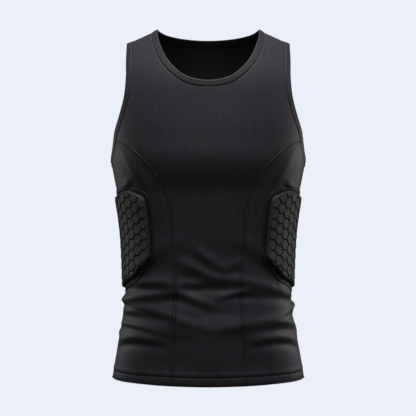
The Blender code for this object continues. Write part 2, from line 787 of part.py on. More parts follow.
def flange_curve(share, side):
    """Places round the pad at a share of the flange's width, which is most at the top."""
    outline = pad_outline()
    closed = np.concatenate([outline, outline[:1]])
    run = run_along(closed)
    marks = []
    for start, end in zip(run[:-1], run[1:]):
        steps = max(1, round((end - start) / FLANGE_STEP))
        marks += [start + (end - start) * step / steps for step in range(steps)]
    flat = np.stack([np.interp(marks, run, closed[:, k]) for k in (0, 1)], axis=-1)
    along = unit(np.roll(flat, -1, axis=0) - np.roll(flat, 1, axis=0))
    away = np.stack([-along[:, 1], along[:, 0]], axis=-1)
    upward = np.clip(away[:, 1], 0, 1)
    width = FLANGE_WIDTH + (FLANGE_TOP_WIDTH - FLANGE_WIDTH) * upward
    flat = flat + away * (FLANGE_CLEAR + width * share)[:, None]
    return pad_places(flat, side)


def pad_flange(name, side, material):
    """The flat border sewn down round a pad."""
    near = flange_curve(0.0, side)
    far = flange_curve(1.0, side)
    sections = np.stack([
        lifted(near, PAD_BASE + FLANGE_PLY),
        lifted(far, PAD_BASE + FLANGE_PLY * 0.7),
        lifted(far, PAD_BASE),
        lifted(near, PAD_BASE),
    ], axis=1)
    return swept(name, sections, side > 0, material)


def plain_material(name, colour, roughness):
    """A plain surface colour and roughness."""
    material = bpy.data.materials.new(name)
    material.use_nodes = True
    shader = material.node_tree.nodes["Principled BSDF"]
    shader.inputs["Base Color"].default_value = (*colour, 1.0)
    shader.inputs["Roughness"].default_value = roughness
    shader.inputs["Metallic"].default_value = 0.0
    return material


def main():
    """Clears the scene and makes every piece of the vest."""
    for old in list(bpy.data.objects):
        bpy.data.objects.remove(old, do_unlink=True)
    knit = plain_material("black_knit", (0.022, 0.021, 0.023), 0.6)
    trim = plain_material("black_binding", (0.024, 0.023, 0.025), 0.6)
    foam = plain_material("black_foam", (0.016, 0.016, 0.017), 0.5)
    centre_panel("front_panel", False, knit)
    centre_panel("back_panel", True, knit)
    neck_binding(trim)
    for name, side in (("left", 1), ("right", -1)):
        side_panel(f"side_panel_{name}", side, knit)
        armhole_binding(f"armhole_binding_{name}", side, trim)
        rib_pad(f"rib_pad_{name}", side, foam)
        pad_flange(f"pad_flange_{name}", side, trim)


main()
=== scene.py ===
"""Looks of the sleeveless sports vest: knit panels, folded bindings, honeycomb pads and stitching.

Sizes and places below are in millimetres, and a mesh is made in metres. X runs across, with the
wearer's left at +X, Y runs from front to back and Z up. The cloth lies on the torso form of the
solids. A place on that form is an angle round it, from the centre front, and a level up it.
"""
import math
from collections import Counter, namedtuple

import bpy
import numpy as np
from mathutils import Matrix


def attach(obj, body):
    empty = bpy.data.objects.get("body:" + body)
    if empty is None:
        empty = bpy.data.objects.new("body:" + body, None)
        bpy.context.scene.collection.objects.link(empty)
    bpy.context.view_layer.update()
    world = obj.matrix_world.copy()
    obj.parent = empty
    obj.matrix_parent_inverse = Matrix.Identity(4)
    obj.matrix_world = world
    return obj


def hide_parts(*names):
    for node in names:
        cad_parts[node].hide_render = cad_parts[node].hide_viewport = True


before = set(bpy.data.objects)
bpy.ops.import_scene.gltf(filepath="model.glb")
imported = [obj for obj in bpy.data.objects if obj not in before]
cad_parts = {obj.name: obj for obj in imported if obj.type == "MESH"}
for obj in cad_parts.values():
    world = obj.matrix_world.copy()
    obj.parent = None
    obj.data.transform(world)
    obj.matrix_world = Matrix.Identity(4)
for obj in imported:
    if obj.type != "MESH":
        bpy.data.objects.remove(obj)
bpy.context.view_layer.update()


def table(columns, *rows):
    """A table whose rows have named columns."""
    return tuple(map(namedtuple("Row", columns)._make, rows))


# A millimetre, and the distance within which points are one, in metres
MM = 0.001
WELD = 0.00001

# The wearer's two sides
SIDES = (("left", 1), ("right", -1))

# Cloth, hem and bindings
CLOTH = 1.2
HEM_TURN = 16.0
HEM_PLY = 2.4
HEM_LEVEL = -645.3
HEM_DIP = 3.4
BINDING_WIDTH = 12.5

# The torso form, a row for each level section; a squareness of two gives an ellipse
SECTIONS = table(
    "level half_width front_depth back_depth squareness",
    (-690, 187.0, 113.5, 111.5, 2.0),
    (-641, 181.0, 111.0, 109.0, 2.0),
    (-595, 173.2, 108.0, 105.0, 2.1),
    (-550, 164.2, 104.0, 99.0, 2.2),
    (-520, 159.5, 101.5, 95.0, 2.3),
    (-476, 156.9, 100.0, 91.0, 2.3),
    (-425, 158.0, 101.0, 91.0, 2.3),
    (-368, 161.5, 104.5, 95.0, 2.3),
    (-322, 167.8, 109.5, 101.0, 2.3),
    (-293, 173.2, 114.0, 106.0, 2.3),
    (-265, 178.8, 119.0, 110.0, 2.3),
    (-238, 183.6, 122.0, 112.0, 2.3),
    (-190, 186.5, 121.0, 113.0, 2.3),
    (-120, 190.0, 115.0, 111.0, 2.3),
    (-40, 192.0, 106.0, 106.0, 2.3),
    (60, 192.0, 99.0, 99.0, 2.3),
    (220, 192.0, 96.0, 96.0, 2.3),
)

# The shoulder line falls from the neck point to the shoulder point, a little hollow between them
SHOULDER_START = -200.0
NECK_ACROSS = 96.0
NECK_HEIGHT = 13.2
SHOULDER_ACROSS = 155.0
SHOULDER_HEIGHT = -15.5
SHOULDER_SLOPE = (NECK_HEIGHT - SHOULDER_HEIGHT) / (SHOULDER_ACROSS - NECK_ACROSS)
SHOULDER_RUN = math.cos(math.atan(SHOULDER_SLOPE))
SHOULDER_SAG = 1.3
NAPE_ROUND = 30.0

# The neck opening's free edge, from the middle up to the neck point
FRONT_NECK = table(
    "across height",
    (0.0, -97.7), (22.0, -95.3), (41.0, -88.6), (60.5, -72.6), (74.0, -54.8),
    (85.5, -30.2), (93.0, -8.8), (NECK_ACROSS, NECK_HEIGHT),
)
BACK_NECK = table(
    "across height",
    (0.0, 1.2), (36.0, 2.2), (66.0, 5.0), (86.0, 9.0), (NECK_ACROSS, NECK_HEIGHT),
)

# The armhole's free edge, from the shoulder line down the front to the armpit
ARMHOLE_FRONT = table(
    "angle height",
    (49.2, -52.0), (48.6, -85.0), (51.3, -125.0), (58.2, -162.0), (65.0, -187.0),
    (68.0, -204.0), (71.5, -219.0), (79.0, -231.0),
)
ARMPIT_HEIGHT = -236.0
BACK_ARMHOLE_EASE = 1.5
FRONT_SEAM_SHARE = 0.385
BACK_SEAM_SHARE = 0.63

# The seams between the centre panels and the side panels, from below the armhole down
FRONT_SEAM = table(
    "across height",
    (144.0, -215.0), (121.0, -235.0), (99.0, -261.0), (84.0, -292.0), (72.0, -328.0),
    (66.0, -393.0), (61.0, -470.0), (63.0, -545.0), (70.0, -655.0),
)
BACK_SEAM = table(
    "across height",
    (152.0, -225.0), (128.0, -275.0), (112.0, -350.0), (104.0, -460.0), (108.0, -560.0),
    (116.0, -655.0),
)

# Folds, a row for each, from one angle and level to another. The bow lifts the middle of the
# path, ridges stand out by their depth and troughs, with a negative depth, go in.
GIRTH_RADIUS = 130.0
FOLD_FADE = 1.6
FOLD_COLUMNS = "angle_from level_from angle_to level_to bow depth width"
CENTRE_FOLDS = table(
    FOLD_COLUMNS,
    (-13, -388, 15, -444, -3, 4.0, 7.6),
    (4, -440, 28, -410, -4, 2.0, 7.0),
    (-15, -406, 8, -448, 0, -0.8, 6.9),
    (-30, -412, 9, -459, 3, 3.6, 8.0),
    (-10, -450, 42, -469, 4, 2.6, 9.0),
    (-42, -466, 3, -462, 0, 1.6, 7.0),
    (-24, -477, 27, -475, 4, -2.6, 8.0),
    (-32, -465, 12, -513, 0, 3.2, 8.0),
    (-2, -498, 36, -469, 2, 2.6, 8.0),
    (-40, -487, 3, -516, 5, -1.0, 7.0),
    (-12, -518, 28, -515, 0, -1.4, 10.0),
    (-25, -508, -1, -518, 0, 0.5, 7.0),
    (-32, -510, 8, -547, -6, 1.7, 9.0),
    (-7, -548, 38, -522, -6, 1.7, 9.0),
    (-41, -566, 0, -570, 0, -3.0, 20.0),
    (-44, -608, -1, -603, 0, -3.5, 26.0),
    (3, -570, 35, -561, 0, -2.6, 20.0),
    (5, -604, 45, -604, 0, -3.0, 26.0),
)
RIGHT_FOLDS = table(
    FOLD_COLUMNS,
    (-51, -437, -13, -377, 6, 2.2, 13.0),
    (-47, -451, -10, -413, 2, -1.6, 12.0),
    (-60, -466, -16, -462, 4, 2.6, 8.0),
    (-104, -484, -18, -475, 4, -2.6, 7.0),
    (-109, -501, -12, -471, -6, 4.0, 8.0),
    (-43, -502, -9, -487, 1, -1.6, 7.5),
    (-109, -522, -35, -510, 0, 2.4, 8.0),
    (-51, -501, -10, -534, 0, 2.0, 8.0),
    (-94, -534, -14, -532, 6, -3.8, 9.5),
    (-106, -553, -20, -558, 14, 3.0, 8.0),
    (-93, -589, -20, -574, 17, 3.0, 9.0),
    (-86, -599, -19, -586, 17, -3.2, 7.5),
    (-57, -206, -39, -294, 0, 2.5, 9.0),
    (-42, -215, -32, -287, 0, -2.4, 9.0),
)
LEFT_FOLDS = table(
    FOLD_COLUMNS,
    (12, -374, 50, -441, 5, 2.2, 13.0),
    (12, -392, 50, -463, 3, -1.8, 12.0),
    (12, -453, 106, -517, 5, 2.8, 9.0),
    (9, -489, 104, -515, 8, -2.6, 8.0),
    (12, -545, 106, -505, 0, 3.2, 9.0),
    (18, -551, 104, -570, 8, -2.4, 7.0),
    (19, -574, 87, -588, 18, 3.0, 9.0),
    (18, -586, 83, -599, 18, -3.2, 7.5),
    (39, -294, 57, -206, 0, 2.5, 9.0),
    (33, -287, 42, -215, 0, -2.4, 9.0),
)
SIDE_FOLDS = table(
    FOLD_COLUMNS,
    (-140, -500, -62, -500, 0, 5.8, 8.0),
    (-140, -533, -66, -532, 0, 2.2, 9.0),
    (-140, -561, -62, -559, 0, 4.0, 9.0),
    (62, -499, 140, -496, 0, -3.0, 7.0),
    (62, -511, 140, -508, 0, 7.2, 8.0),
    (62, -526, 140, -524, 0, -1.6, 7.0),
    (62, -561, 140, -560, 0, 3.4, 9.0),
)
BACK_FOLDS = table(
    FOLD_COLUMNS,
    (140, -470, 225, -474, 6, 2.8, 9.0),
    (138, -485, 218, -488, 4, -3.0, 9.0),
    (128, -505, 190, -498, -5, 2.6, 9.0),
    (190, -512, 235, -502, 5, 2.4, 9.0),
    (150, -528, 226, -534, -6, -2.4, 9.0),
    (135, -548, 210, -556, 5, 2.2, 10.0),
    (150, -575, 215, -578, 6, -1.6, 11.0),
)

# Smaller creases that only the cloth has
SMALL_FOLDS = table(
    FOLD_COLUMNS,
    (-26, -441, -2, -459, 0, -0.8, 5.0),
    (5, -495, 35, -487, 4, -2.0, 6.0),
    (-104, -509, -33, -521, 6, -2.4, 4.5),
    (-106, -564, -28, -560, 15, -2.8, 5.5),
    (-63, -291, -47, -271, 0, 2.2, 3.8),
    (-56, -295, -45, -279, 0, -1.8, 3.5),
    (33, -539, 106, -505, 0, -2.6, 4.0),
    (27, -531, 104, -562, 8, 2.8, 6.5),
    (47, -271, 62, -291, 0, 2.2, 3.8),
    (46, -281, 56, -295, 0, -1.8, 3.5),
    (46, -461, 52, -473, 0, -1.2, 3.6),
    (57, -474, 66, -487, 0, -1.2, 3.6),
    (165, -458, 205, -461, 3, 1.2, 6.0),
    (150, -516, 176, -512, 2, -1.2, 5.0),
    (196, -540, 222, -545, -3, 1.2, 6.0),
    (118, -541, 142, -534, 0, -1.3, 5.0),
    (-138, -488, -112, -494, 0, -1.3, 5.0),
)

# Broad soft shapes where the cloth hangs from the chest
DRAPES = table(
    FOLD_COLUMNS,
    (-75, -70, 75, -70, 0, 9.0, 62.0),
    (-75, -231, 75, -231, -4, 1.8, 27.0),
    (-75, -289, 75, -289, -4, -2.3, 23.0),
    (-50, -380, 50, -380, 0, 1.6, 34.0),
    (-60, -540, 60, -540, 0, 3.0, 32.0),
    (-60, -645, 60, -645, 0, -5.0, 48.0),
)
FOLDS = CENTRE_FOLDS + RIGHT_FOLDS + LEFT_FOLDS + SIDE_FOLDS + BACK_FOLDS + SMALL_FOLDS + DRAPES

# Rows of the panels up their seams: set ones in the hem and at the top, close ones in the folds
HEM_STITCHES = 16.0
HEM_MARKS = (
    0.0, 0.6, 1.6, 4.5, 8.5, 12.0, 14.2, 15.2, 16.0,
    16.8, 17.8, 19.6, 21.5, 23.5, 25.6, 27.8, 30.0,
)
FOLD_TOP = 215.0
FOLD_ROWS = 62
UPPER_ROWS = 36
TOP_MARKS = (7.0, 3.6, 1.8, 0.8, 0.0)
SEAM_ROWS = len(HEM_MARKS) + FOLD_ROWS + UPPER_ROWS - 1 + len(TOP_MARKS)
SEAM_END_ROWS = 4
CHEST_ROWS = 20
CHEST_DROP = 14.0
NECK_START_ROWS = 3
TOP_PULL = 3
FRONT_STRAP_ROWS = 44
BACK_STRAP_ROWS = 34
UNDER_ARM_COLUMNS = 90
FRONT_CORNER = CHEST_ROWS + FRONT_STRAP_ROWS
BACK_CORNER = FRONT_CORNER + UNDER_ARM_COLUMNS

# Columns of the panels: set distances from each edge, and even ones between
NEAR_MARKS = (0.0, 0.7, 1.6, 3.2, 6.0)
FAR_MARKS = (8.0, 5.2, 3.9, 3.4, 3.0, 2.6, 2.1, 1.4, 0.7, 0.0)
FRONT_COLUMNS = 24
BACK_COLUMNS = 36
SIDE_COLUMNS = UNDER_ARM_COLUMNS + 2 - 2 * len(FAR_MARKS)
ROW_SAMPLES = 60

# Relief of the sewing: dips and rolls at joins, edges, stitch rows and the hem
SEAM_CURVE = -310.0
SEAM_EASE = 40.0
SEAM_DIP = 0.5
CURVE_DIP = 1.4
OVER_LAP, UNDER_LAP = table("dip_width roll row", (0.5, 0.7, 0.0), (1.3, 0.0, 0.3))
ROLL_AWAY = 1.4
ROLL_WIDTH = 0.6
STITCH_AWAY = 3.0
STITCH_DENT = 1.5
DENT_WIDTH = 1.0
EDGE_DIP = 1.5
EDGE_DIP_WIDTH = 0.7
HEM_DENT = 0.9
HEM_RELIEF = table(
    "lift place width",
    (0.7, 22.0, 3.5),
    (-1.5, 0.0, 3.0),
    (-HEM_DENT, HEM_STITCHES, 0.9),
)
HEM_PUCKER = 0.22
HEM_PUCKERS = table("length start", (2.9, 0.0), (4.3, 1.3))
PUCKER_PLACE = 17.0
PUCKER_WIDTH = 5.5
FAR_AWAY = 1000.0

# Stitches: thread laid along the seams; it is a fraction of a millimetre thick in life, and is
# drawn thicker here so that it shows
STITCH_PITCH = 4.2
STITCH_LENGTH = 3.2
THREAD = 1.8
ALONG_STEP = 0.5
ROW_LIFT = 0.1

# The folded band of a binding: points across it by distance from the free edge and by lift
BAND_SECTION = table(
    "away lift",
    (0.0, -0.75), (0.1, 0.0), (0.6, 0.5), (1.6, 0.75), (3.0, 0.8),
    (4.1, 0.72), (4.8, 0.55), (5.5, 0.68), (7.2, 0.7), (9.6, 0.6),
    (11.4, 0.35), (12.2, -0.3), (12.5, -1.2), (12.4, -2.0), (9.0, -2.0),
    (5.0, -2.0), (1.4, -2.0), (0.3, -1.6),
)

# Rows of stitches along a binding: in the band, and beside its edge
BAND_ROWS = table("away lift", (4.8, 0.4), (12.7, -0.5))

# Rib pads: an outline round the side line, honeycomb cells and a rounded rim
PAD_CORNERS = table(
    "forward height rounding",
    (-58.0, -316.0, 18.0),
    (77.0, -291.0, 28.0),
    (111.0, -305.5, 12.0),
    (105.0, -417.0, 10.0),
    (66.0, -454.5, 20.0),
    (6.0, -479.0, 18.0),
    (-58.0, -450.0, 16.0),
)
CORNER_STEPS = 6
CELL_PITCH = np.array([14.2, 19.4])
CELL_PLACE = np.array([98.2, -354.5])
CELL_SLANT = 0.085
CELL_FIRST = np.array([-12, -7])
CELL_PAIRS = 7
CELL_ROWS = 12
CELL_CLOSE = 0.7
PAD_FOOT = 0.4
PAD_GROOVE = 4.6
CELL_STEPS = table("inward rise", (0.7, 1.7), (1.0, 0.65))
CELL_TILT = np.array([0.03, -0.06])
CELL_LEAST = 2.0
CELL_NOTCH = 1.1
NOTCHED_SIDE = 3 * CELL_NOTCH
NOTCH_LIFT = 5.0
SLIVER_STEPS = table("inward rise", (0.12, 2.0))
SLIVER_LEAST = 0.25
RIM_WIDTH = 4.2
RIM_TOP = 6.6
RIM_SECTION = table(
    "out lift",
    (0.5, 6.2), (1.6, 4.9), (2.9, 3.0), (3.8, 1.5), (4.2, 0.8),
    (4.1, PAD_FOOT), (0.0, PAD_FOOT),
)

# The flange round a pad: points across it by share of its width and by lift. The row of stitches in the
# gutter beside the pad is drawn broader than life, as the thread is; its black thread is partly real
# stitching and partly painted shadow in the gutter.
FLANGE_CLEAR = 0.5
FLANGE_WIDTH = 7.2
FLANGE_TOP_WIDTH = 8.0
FLANGE_STEP = 4.0
FLANGE_SECTION = table(
    "share lift",
    (0.0, 0.5), (0.2, 0.6), (0.33, 1.5), (0.45, 1.6), (0.56, 1.2),
    (0.62, 0.7), (0.68, 1.2), (0.82, 1.5), (0.95, 1.2), (1.0, 0.7),
    (0.97, 0.3), (0.5, 0.3), (0.03, 0.2),
)
FLANGE_STITCHES = 0.62
FLANGE_ROW_LIFT = 1.0
GUTTER_STITCHES = 0.14
GUTTER_ROW_LIFT = 0.9
GUTTER_THREAD_AND_SHADOW = 4.2

# The knit's patterns: how much they are stretched up the cloth, their mix and the colours' range
STREAK_STRETCH = 0.06
LOOP_STRETCH = 0.7
STREAK_SHARE = 0.25
KNIT_RANGE = (0.36, 0.64)

# Painted shade on the foam: its brightness by height over the cloth, darker in the grooves and at the foot
FOAM_GROOVE_SHADE = {"From Min": 2.5, "From Max": 6.5, "To Min": 0.4, "To Max": 1.0}

# Fine patterns of the other materials, in patches a metre
FOAM_GRAIN = 900.0
FOAM_MOTTLE = 30.0
THREAD_PLIES = 1400.0
PAPER_FIBRE = 60.0

# Steps of the measuring on the form
TURN_STEP = 0.002
CLIMB_STEP = 0.4
SIDE_STEPS = 4
RIDGE_STEPS = 3
ARMHOLE_STEPS = 4
ROUND_STEPS = 16
SEAM_STEPS = 900
SMOOTH_ANGLE = math.radians(50)
FACET_ANGLE = math.radians(24)

# The studio, in metres: the photograph's scale and centre give the camera
PHOTO_SIDE = 416
PIXEL = 0.0019
SENSOR = 36.0
CAMERA_AWAY = 2.0
CAMERA_PLACE = (-0.000475, -CAMERA_AWAY, -0.32585)
FLOOR_LEVEL = -3.0
FLOOR_SIDE = 2.4
FILL = 0.04
PALE = "#ebeff7"
LIGHT_AIM = (0.0, 0.0, -0.3)
SOFT_BOXES = table(
    "name place width height power",
    ("high_front", (0, -2.0, 2.0), 1.4, 1.0, 31),
    ("over_front", (0, -0.75, 1.9), 0.8, 0.65, 58),
    ("over_back", (0, 1.2, 1.8), 1.6, 0.8, 6),
    ("high_left", (1.5, 0.2, 0.7), 0.8, 0.8, 7.5),
    ("high_right", (-1.5, 0.25, 0.7), 0.8, 0.8, 4),
    ("low_left", (1.4, 0.45, -0.25), 0.7, 0.7, 8.4),
    ("low_right", (-1.4, 0.5, -0.25), 0.7, 0.7, 5.8),
)


def unit(vectors):
    """Vectors scaled to length one."""
    return vectors / np.linalg.norm(vectors, axis=-1, keepdims=True)


def dot(first, second):
    """Dot products of rows of vectors."""
    return (first * second).sum(-1)


def pairs(first, second):
    """Two arrays set side by side, as places on the form or flat points."""
    return np.stack([first, second], axis=-1)


def through(knots, values, at):
    """Values on a smooth curve through a table's rows."""
    knots = np.asarray(knots, float)
    values = np.asarray(values, float)
    rates = np.gradient(values, knots)
    row = np.clip(np.searchsorted(knots, at) - 1, 0, len(knots) - 2)
    span = knots[row + 1] - knots[row]
    share = (at - knots[row]) / span
    rest = 1 - share
    held = values[row] * (1 + 2 * share) * rest ** 2 + values[row + 1] * share ** 2 * (3 - 2 * share)
    bent = rates[row] * span * share * rest ** 2 - rates[row + 1] * span * share ** 2 * rest
    return held + bent


def run_along(points):
    """Distances along a line of points from its start."""
    return np.concatenate([[0], np.cumsum(np.linalg.norm(np.diff(points, axis=0), axis=-1))])


def resampled(line, run, marks):
    """Rows of a line at some distances along it."""
    return np.stack([np.interp(marks, run, column) for column in line.T], axis=-1)


def closed_loop(loop):
    """A loop with its first row again at its end."""
    return np.concatenate([loop, loop[:1]])


def section(column, level):
    """One size of the form at any level."""
    sizes = [getattr(row, column) for row in SECTIONS]
    return through([row.level for row in SECTIONS], sizes, level)


def shoulder_height(across):
    """Height of the shoulder line at a distance from the middle, eased over the middle."""
    reach = np.hypot(across, NAPE_ROUND) - math.hypot(NECK_ACROSS, NAPE_ROUND)
    share = np.clip((abs(across) - NECK_ACROSS) / (SHOULDER_ACROSS - NECK_ACROSS), 0, 1)
    return NECK_HEIGHT - SHOULDER_SLOPE * reach - SHOULDER_SAG * 4 * share * (1 - share)


def base(angle, level):
    """Points of the plain form; above the shoulder start it domes over to the shoulder line."""
    angle = np.asarray(angle, float)
    level = np.asarray(level, float)
    power = section("squareness", level)
    reach = (abs(np.sin(angle)) ** power + abs(np.cos(angle)) ** power) ** (-1 / power)
    across = section("half_width", level) * np.sin(angle) * reach
    in_front = np.cos(angle) > 0
    depth = np.where(in_front, section("front_depth", level), section("back_depth", level))
    rise = shoulder_height(across) - SHOULDER_START
    lean = np.clip((level - SHOULDER_START) / rise, 0, math.pi / 2)
    height = np.where(level > SHOULDER_START, SHOULDER_START + rise * np.sin(lean), level)
    return np.stack([across, -depth * np.cos(angle) * reach * np.cos(lean), height], axis=-1)


def on_form(places):
    """Points of the plain form at places."""
    return base(places[..., 0], places[..., 1])


def creases(angle, level):
    """How far the folds push the cloth out or in."""
    pushed = np.zeros(np.broadcast(angle, level).shape)
    for fold in FOLDS:
        middle = math.radians((fold.angle_from + fold.angle_to) / 2)
        run = math.radians(fold.angle_to - fold.angle_from) * GIRTH_RADIUS
        climb = fold.level_to - fold.level_from
        length = math.hypot(run, climb)
        turned = (angle - middle + math.pi) % (2 * math.pi) - math.pi
        round_by = turned * GIRTH_RADIUS
        up_by = level - (fold.level_from + fold.level_to) / 2
        along = np.clip((round_by * run + up_by * climb) / length ** 2 * 2, -1, 1)
        off = (up_by * run - round_by * climb) / length - fold.bow * (1 - along ** 2)
        fade = (1 - along ** 2) ** FOLD_FADE
        pushed = pushed + fold.depth * np.exp(-(off / fold.width) ** 2) * fade
    return pushed


def slopes(surface, angle, level):
    """How a surface runs round, for each radian, and up, for each millimetre of level."""
    around = surface(angle + TURN_STEP, level) - surface(angle - TURN_STEP, level)
    up = surface(angle, level + CLIMB_STEP) - surface(angle, level - CLIMB_STEP)
    return around / (2 * TURN_STEP), up / (2 * CLIMB_STEP)


def outward(surface, angle, level):
    """Unit vectors that point out of a surface."""
    around, up = slopes(surface, angle, level)
    return unit(np.cross(around, up))


def folded(angle, level):
    """Points of the cloth's outer face, folds included."""
    pushed = creases(angle, level)
    return base(angle, level) + outward(base, angle, level) * pushed[..., None]


def lifted(places, lift):
    """Points above the cloth's outer face by a lift, for an array of angle and level."""
    angle = places[..., 0]
    level = places[..., 1]
    lift = np.broadcast_to(np.asarray(lift, float), angle.shape)
    return folded(angle, level) + outward(folded, angle, level) * lift[..., None]


def mirrored(places, side):
    """Places of the wearer's left, or moved to the right if the side is minus one."""
    return places * np.array([side, 1.0])


def angle_of(across, level):
    """The angle in front of the side line at a distance from the middle."""
    share = np.clip(across / section("half_width", level), 0, 1)
    power = section("squareness", level)
    return np.arctan2(share, (1 - share ** power) ** (1 / power))


def level_of(across, height):
    """The form's level at a height."""
    rise = shoulder_height(across) - SHOULDER_START
    lean = np.arcsin(np.clip((height - SHOULDER_START) / rise, 0, 1))
    return np.where(height > SHOULDER_START, SHOULDER_START + rise * lean, height)


def locate(across, height, behind):
    """Places on the form from distances across and heights, as an array of angle and level."""
    level = level_of(across, height)
    angle = angle_of(across, level)
    if behind:
        angle = math.pi - angle
    return pairs(angle, level)


def ridge_level(angle):
    """The level at which the form reaches its shoulder line."""
    across = base(angle, np.zeros_like(angle))[..., 0]
    for _ in range(RIDGE_STEPS):
        level = SHOULDER_START + (shoulder_height(across) - SHOULDER_START) * math.pi / 2
        across = base(angle, level)[..., 0]
    return level


def beside(curve, distance):
    """A curve of places moved sideways over the form, to its right as seen from outside."""
    moved = curve
    for _ in range(SIDE_STEPS):
        angle, level = moved.T
        along = np.gradient(base(angle, level), axis=0)
        side = unit(np.cross(along, outward(base, angle, level))) * distance / SIDE_STEPS
        around, up = slopes(base, angle, level)
        shared = dot(around, up)
        scale = dot(around, around) * dot(up, up) - shared ** 2
        turn = (dot(around, side) * dot(up, up) - dot(up, side) * shared) / scale
        climb = (dot(up, side) * dot(around, around) - dot(around, side) * shared) / scale
        angle = angle + turn
        moved = pairs(angle, np.minimum(level + climb, ridge_level(angle)))
    return moved


def on_shoulder(across, behind):
    """The place on the shoulder line at a distance from the middle."""
    return locate(np.array(across), shoulder_height(np.array(across)), behind)


def neck_curve(distance, behind):
    """Half the neck line, from the middle up to the shoulder line, at a distance from its free edge."""
    steps = BACK_STRAP_ROWS if behind else FRONT_STRAP_ROWS
    across, height = np.array(BACK_NECK if behind else FRONT_NECK).T
    across = np.concatenate([-across[:0:-1], across])
    height = np.concatenate([height[:0:-1], height])
    knots = run_along(pairs(across, height))
    marks = np.linspace(knots[-1] / 2, knots[-1], steps + 1)
    curve = locate(abs(through(knots, across, marks)), through(knots, height, marks), behind)
    if distance:
        curve = beside(curve, -distance if behind else distance)
    curve[0, 0] = math.pi if behind else 0.0
    curve[-1] = on_shoulder(NECK_ACROSS + distance * SHOULDER_RUN, behind)
    return curve


def armhole_shares():
    """Stations round the armhole, from the front shoulder to the back one, as the panels need them."""
    front = np.linspace(0, FRONT_SEAM_SHARE, CHEST_ROWS + FRONT_STRAP_ROWS + 1)
    under = np.linspace(FRONT_SEAM_SHARE, BACK_SEAM_SHARE, UNDER_ARM_COLUMNS + 1)
    back = np.linspace(BACK_SEAM_SHARE, 1, CHEST_ROWS + BACK_STRAP_ROWS + 1)
    return np.concatenate([front, under[1:], back[1:]])


def armhole_curve(distance):
    """The armhole line from the front of the shoulder, under the arm, to the back of the shoulder."""
    front, height = np.array(ARMHOLE_FRONT).T
    back = 180.0 - front[::-1] - BACK_ARMHOLE_EASE
    angles = np.radians(np.concatenate([front, [90.0], back]))
    heights = np.concatenate([height, [ARMPIT_HEIGHT], height[::-1]])
    levels = heights
    for _ in range(ARMHOLE_STEPS):
        levels = level_of(base(angles, levels)[:, 0], heights)
    ends = [on_shoulder(SHOULDER_ACROSS, behind) for behind in (False, True)]
    places = np.concatenate([ends[:1], pairs(angles, levels), ends[1:]])
    knots = run_along(on_form(places))
    knots = knots / knots[-1]
    shares = armhole_shares()
    curve = np.stack([through(knots, column, shares) for column in places.T], axis=-1)
    if distance:
        curve = beside(curve, distance)
    across = SHOULDER_ACROSS - distance * SHOULDER_RUN
    curve[[0, -1]] = [on_shoulder(across, behind) for behind in (False, True)]
    return curve


def hem_level(angle):
    """The hem's level, a little lower at the centre front and back."""
    return HEM_LEVEL - HEM_DIP * np.cos(angle) ** 2


def row_marks(length):
    """Distances of the panel rows up a seam of some length."""
    folds = np.linspace(HEM_MARKS[-1], FOLD_TOP, FOLD_ROWS + 1)[1:]
    upper = np.linspace(FOLD_TOP, length - TOP_MARKS[0], UPPER_ROWS + 1)[1:-1]
    return np.concatenate([HEM_MARKS, folds, upper, length - np.array(TOP_MARKS)])


def seam_curve(rows, start, behind):
    """Places of the panel rows on a seam, from the hem up to its start on the armhole."""
    top = on_form(start)[[0, 2]]
    across, height = np.concatenate([[top], rows])[::-1].T
    knots = run_along(pairs(across, height))
    fine = np.linspace(0, knots[-1], SEAM_STEPS)
    places = locate(through(knots, across, fine), through(knots, height, fine), behind)
    places = places[places[:, 1] >= hem_level(places[:, 0])]
    places[-1] = start
    run = run_along(on_form(places))
    curve = resampled(places, run, row_marks(run[-1]))
    curve[0, 1] = hem_level(curve[0, 0])
    return curve


def dent(away, place, width):
    """A soft dip or rise of height one, across a line at a place."""
    return np.exp(-((away - place) / width) ** 2)


def twin_seam(away, levels, lap):
    """How the cloth lies beside a twin-needle seam: in at the join, and in along a row of stitches.

    On the curve at the top the front cloth laps over the side cloth, with a rolled edge.
    """
    above = np.clip((levels - SEAM_CURVE) / SEAM_EASE, 0, 1)[:, None]
    join = (SEAM_DIP + (CURVE_DIP - SEAM_DIP) * above) * dent(away, 0, lap.dip_width)
    roll = lap.roll * above * dent(away, ROLL_AWAY, ROLL_WIDTH)
    row = STITCH_DENT * (1 - above * (1 - lap.row)) * dent(away, STITCH_AWAY, DENT_WIDTH)
    return roll - join - row


def bound_edge(away):
    """How the cloth dips under the edge of a binding."""
    return -EDGE_DIP * dent(away, 0, EDGE_DIP_WIDTH)


def hem_relief(places):
    """How the hem lies: a rounded edge, a row of stitches, a puff above it and small puckers."""
    up = np.full(len(places), FAR_AWAY)
    up[:len(HEM_MARKS)] = HEM_MARKS
    relief = sum(row.lift * dent(up, row.place, row.width) for row in HEM_RELIEF)
    run = places[..., 0] * GIRTH_RADIUS
    pucker = sum(np.sin(run / row.length + row.start) for row in HEM_PUCKERS)
    return relief[:, None] + HEM_PUCKER * pucker * dent(up, PUCKER_PLACE, PUCKER_WIDTH)[:, None]


def hem_plies(rows):
    """The share of the hem's thickness in each row: all of it in the turned hem, half above."""
    share = np.full(rows, CLOTH / HEM_PLY)
    share[:sum(mark <= HEM_TURN for mark in HEM_MARKS)] = 1.0
    return share


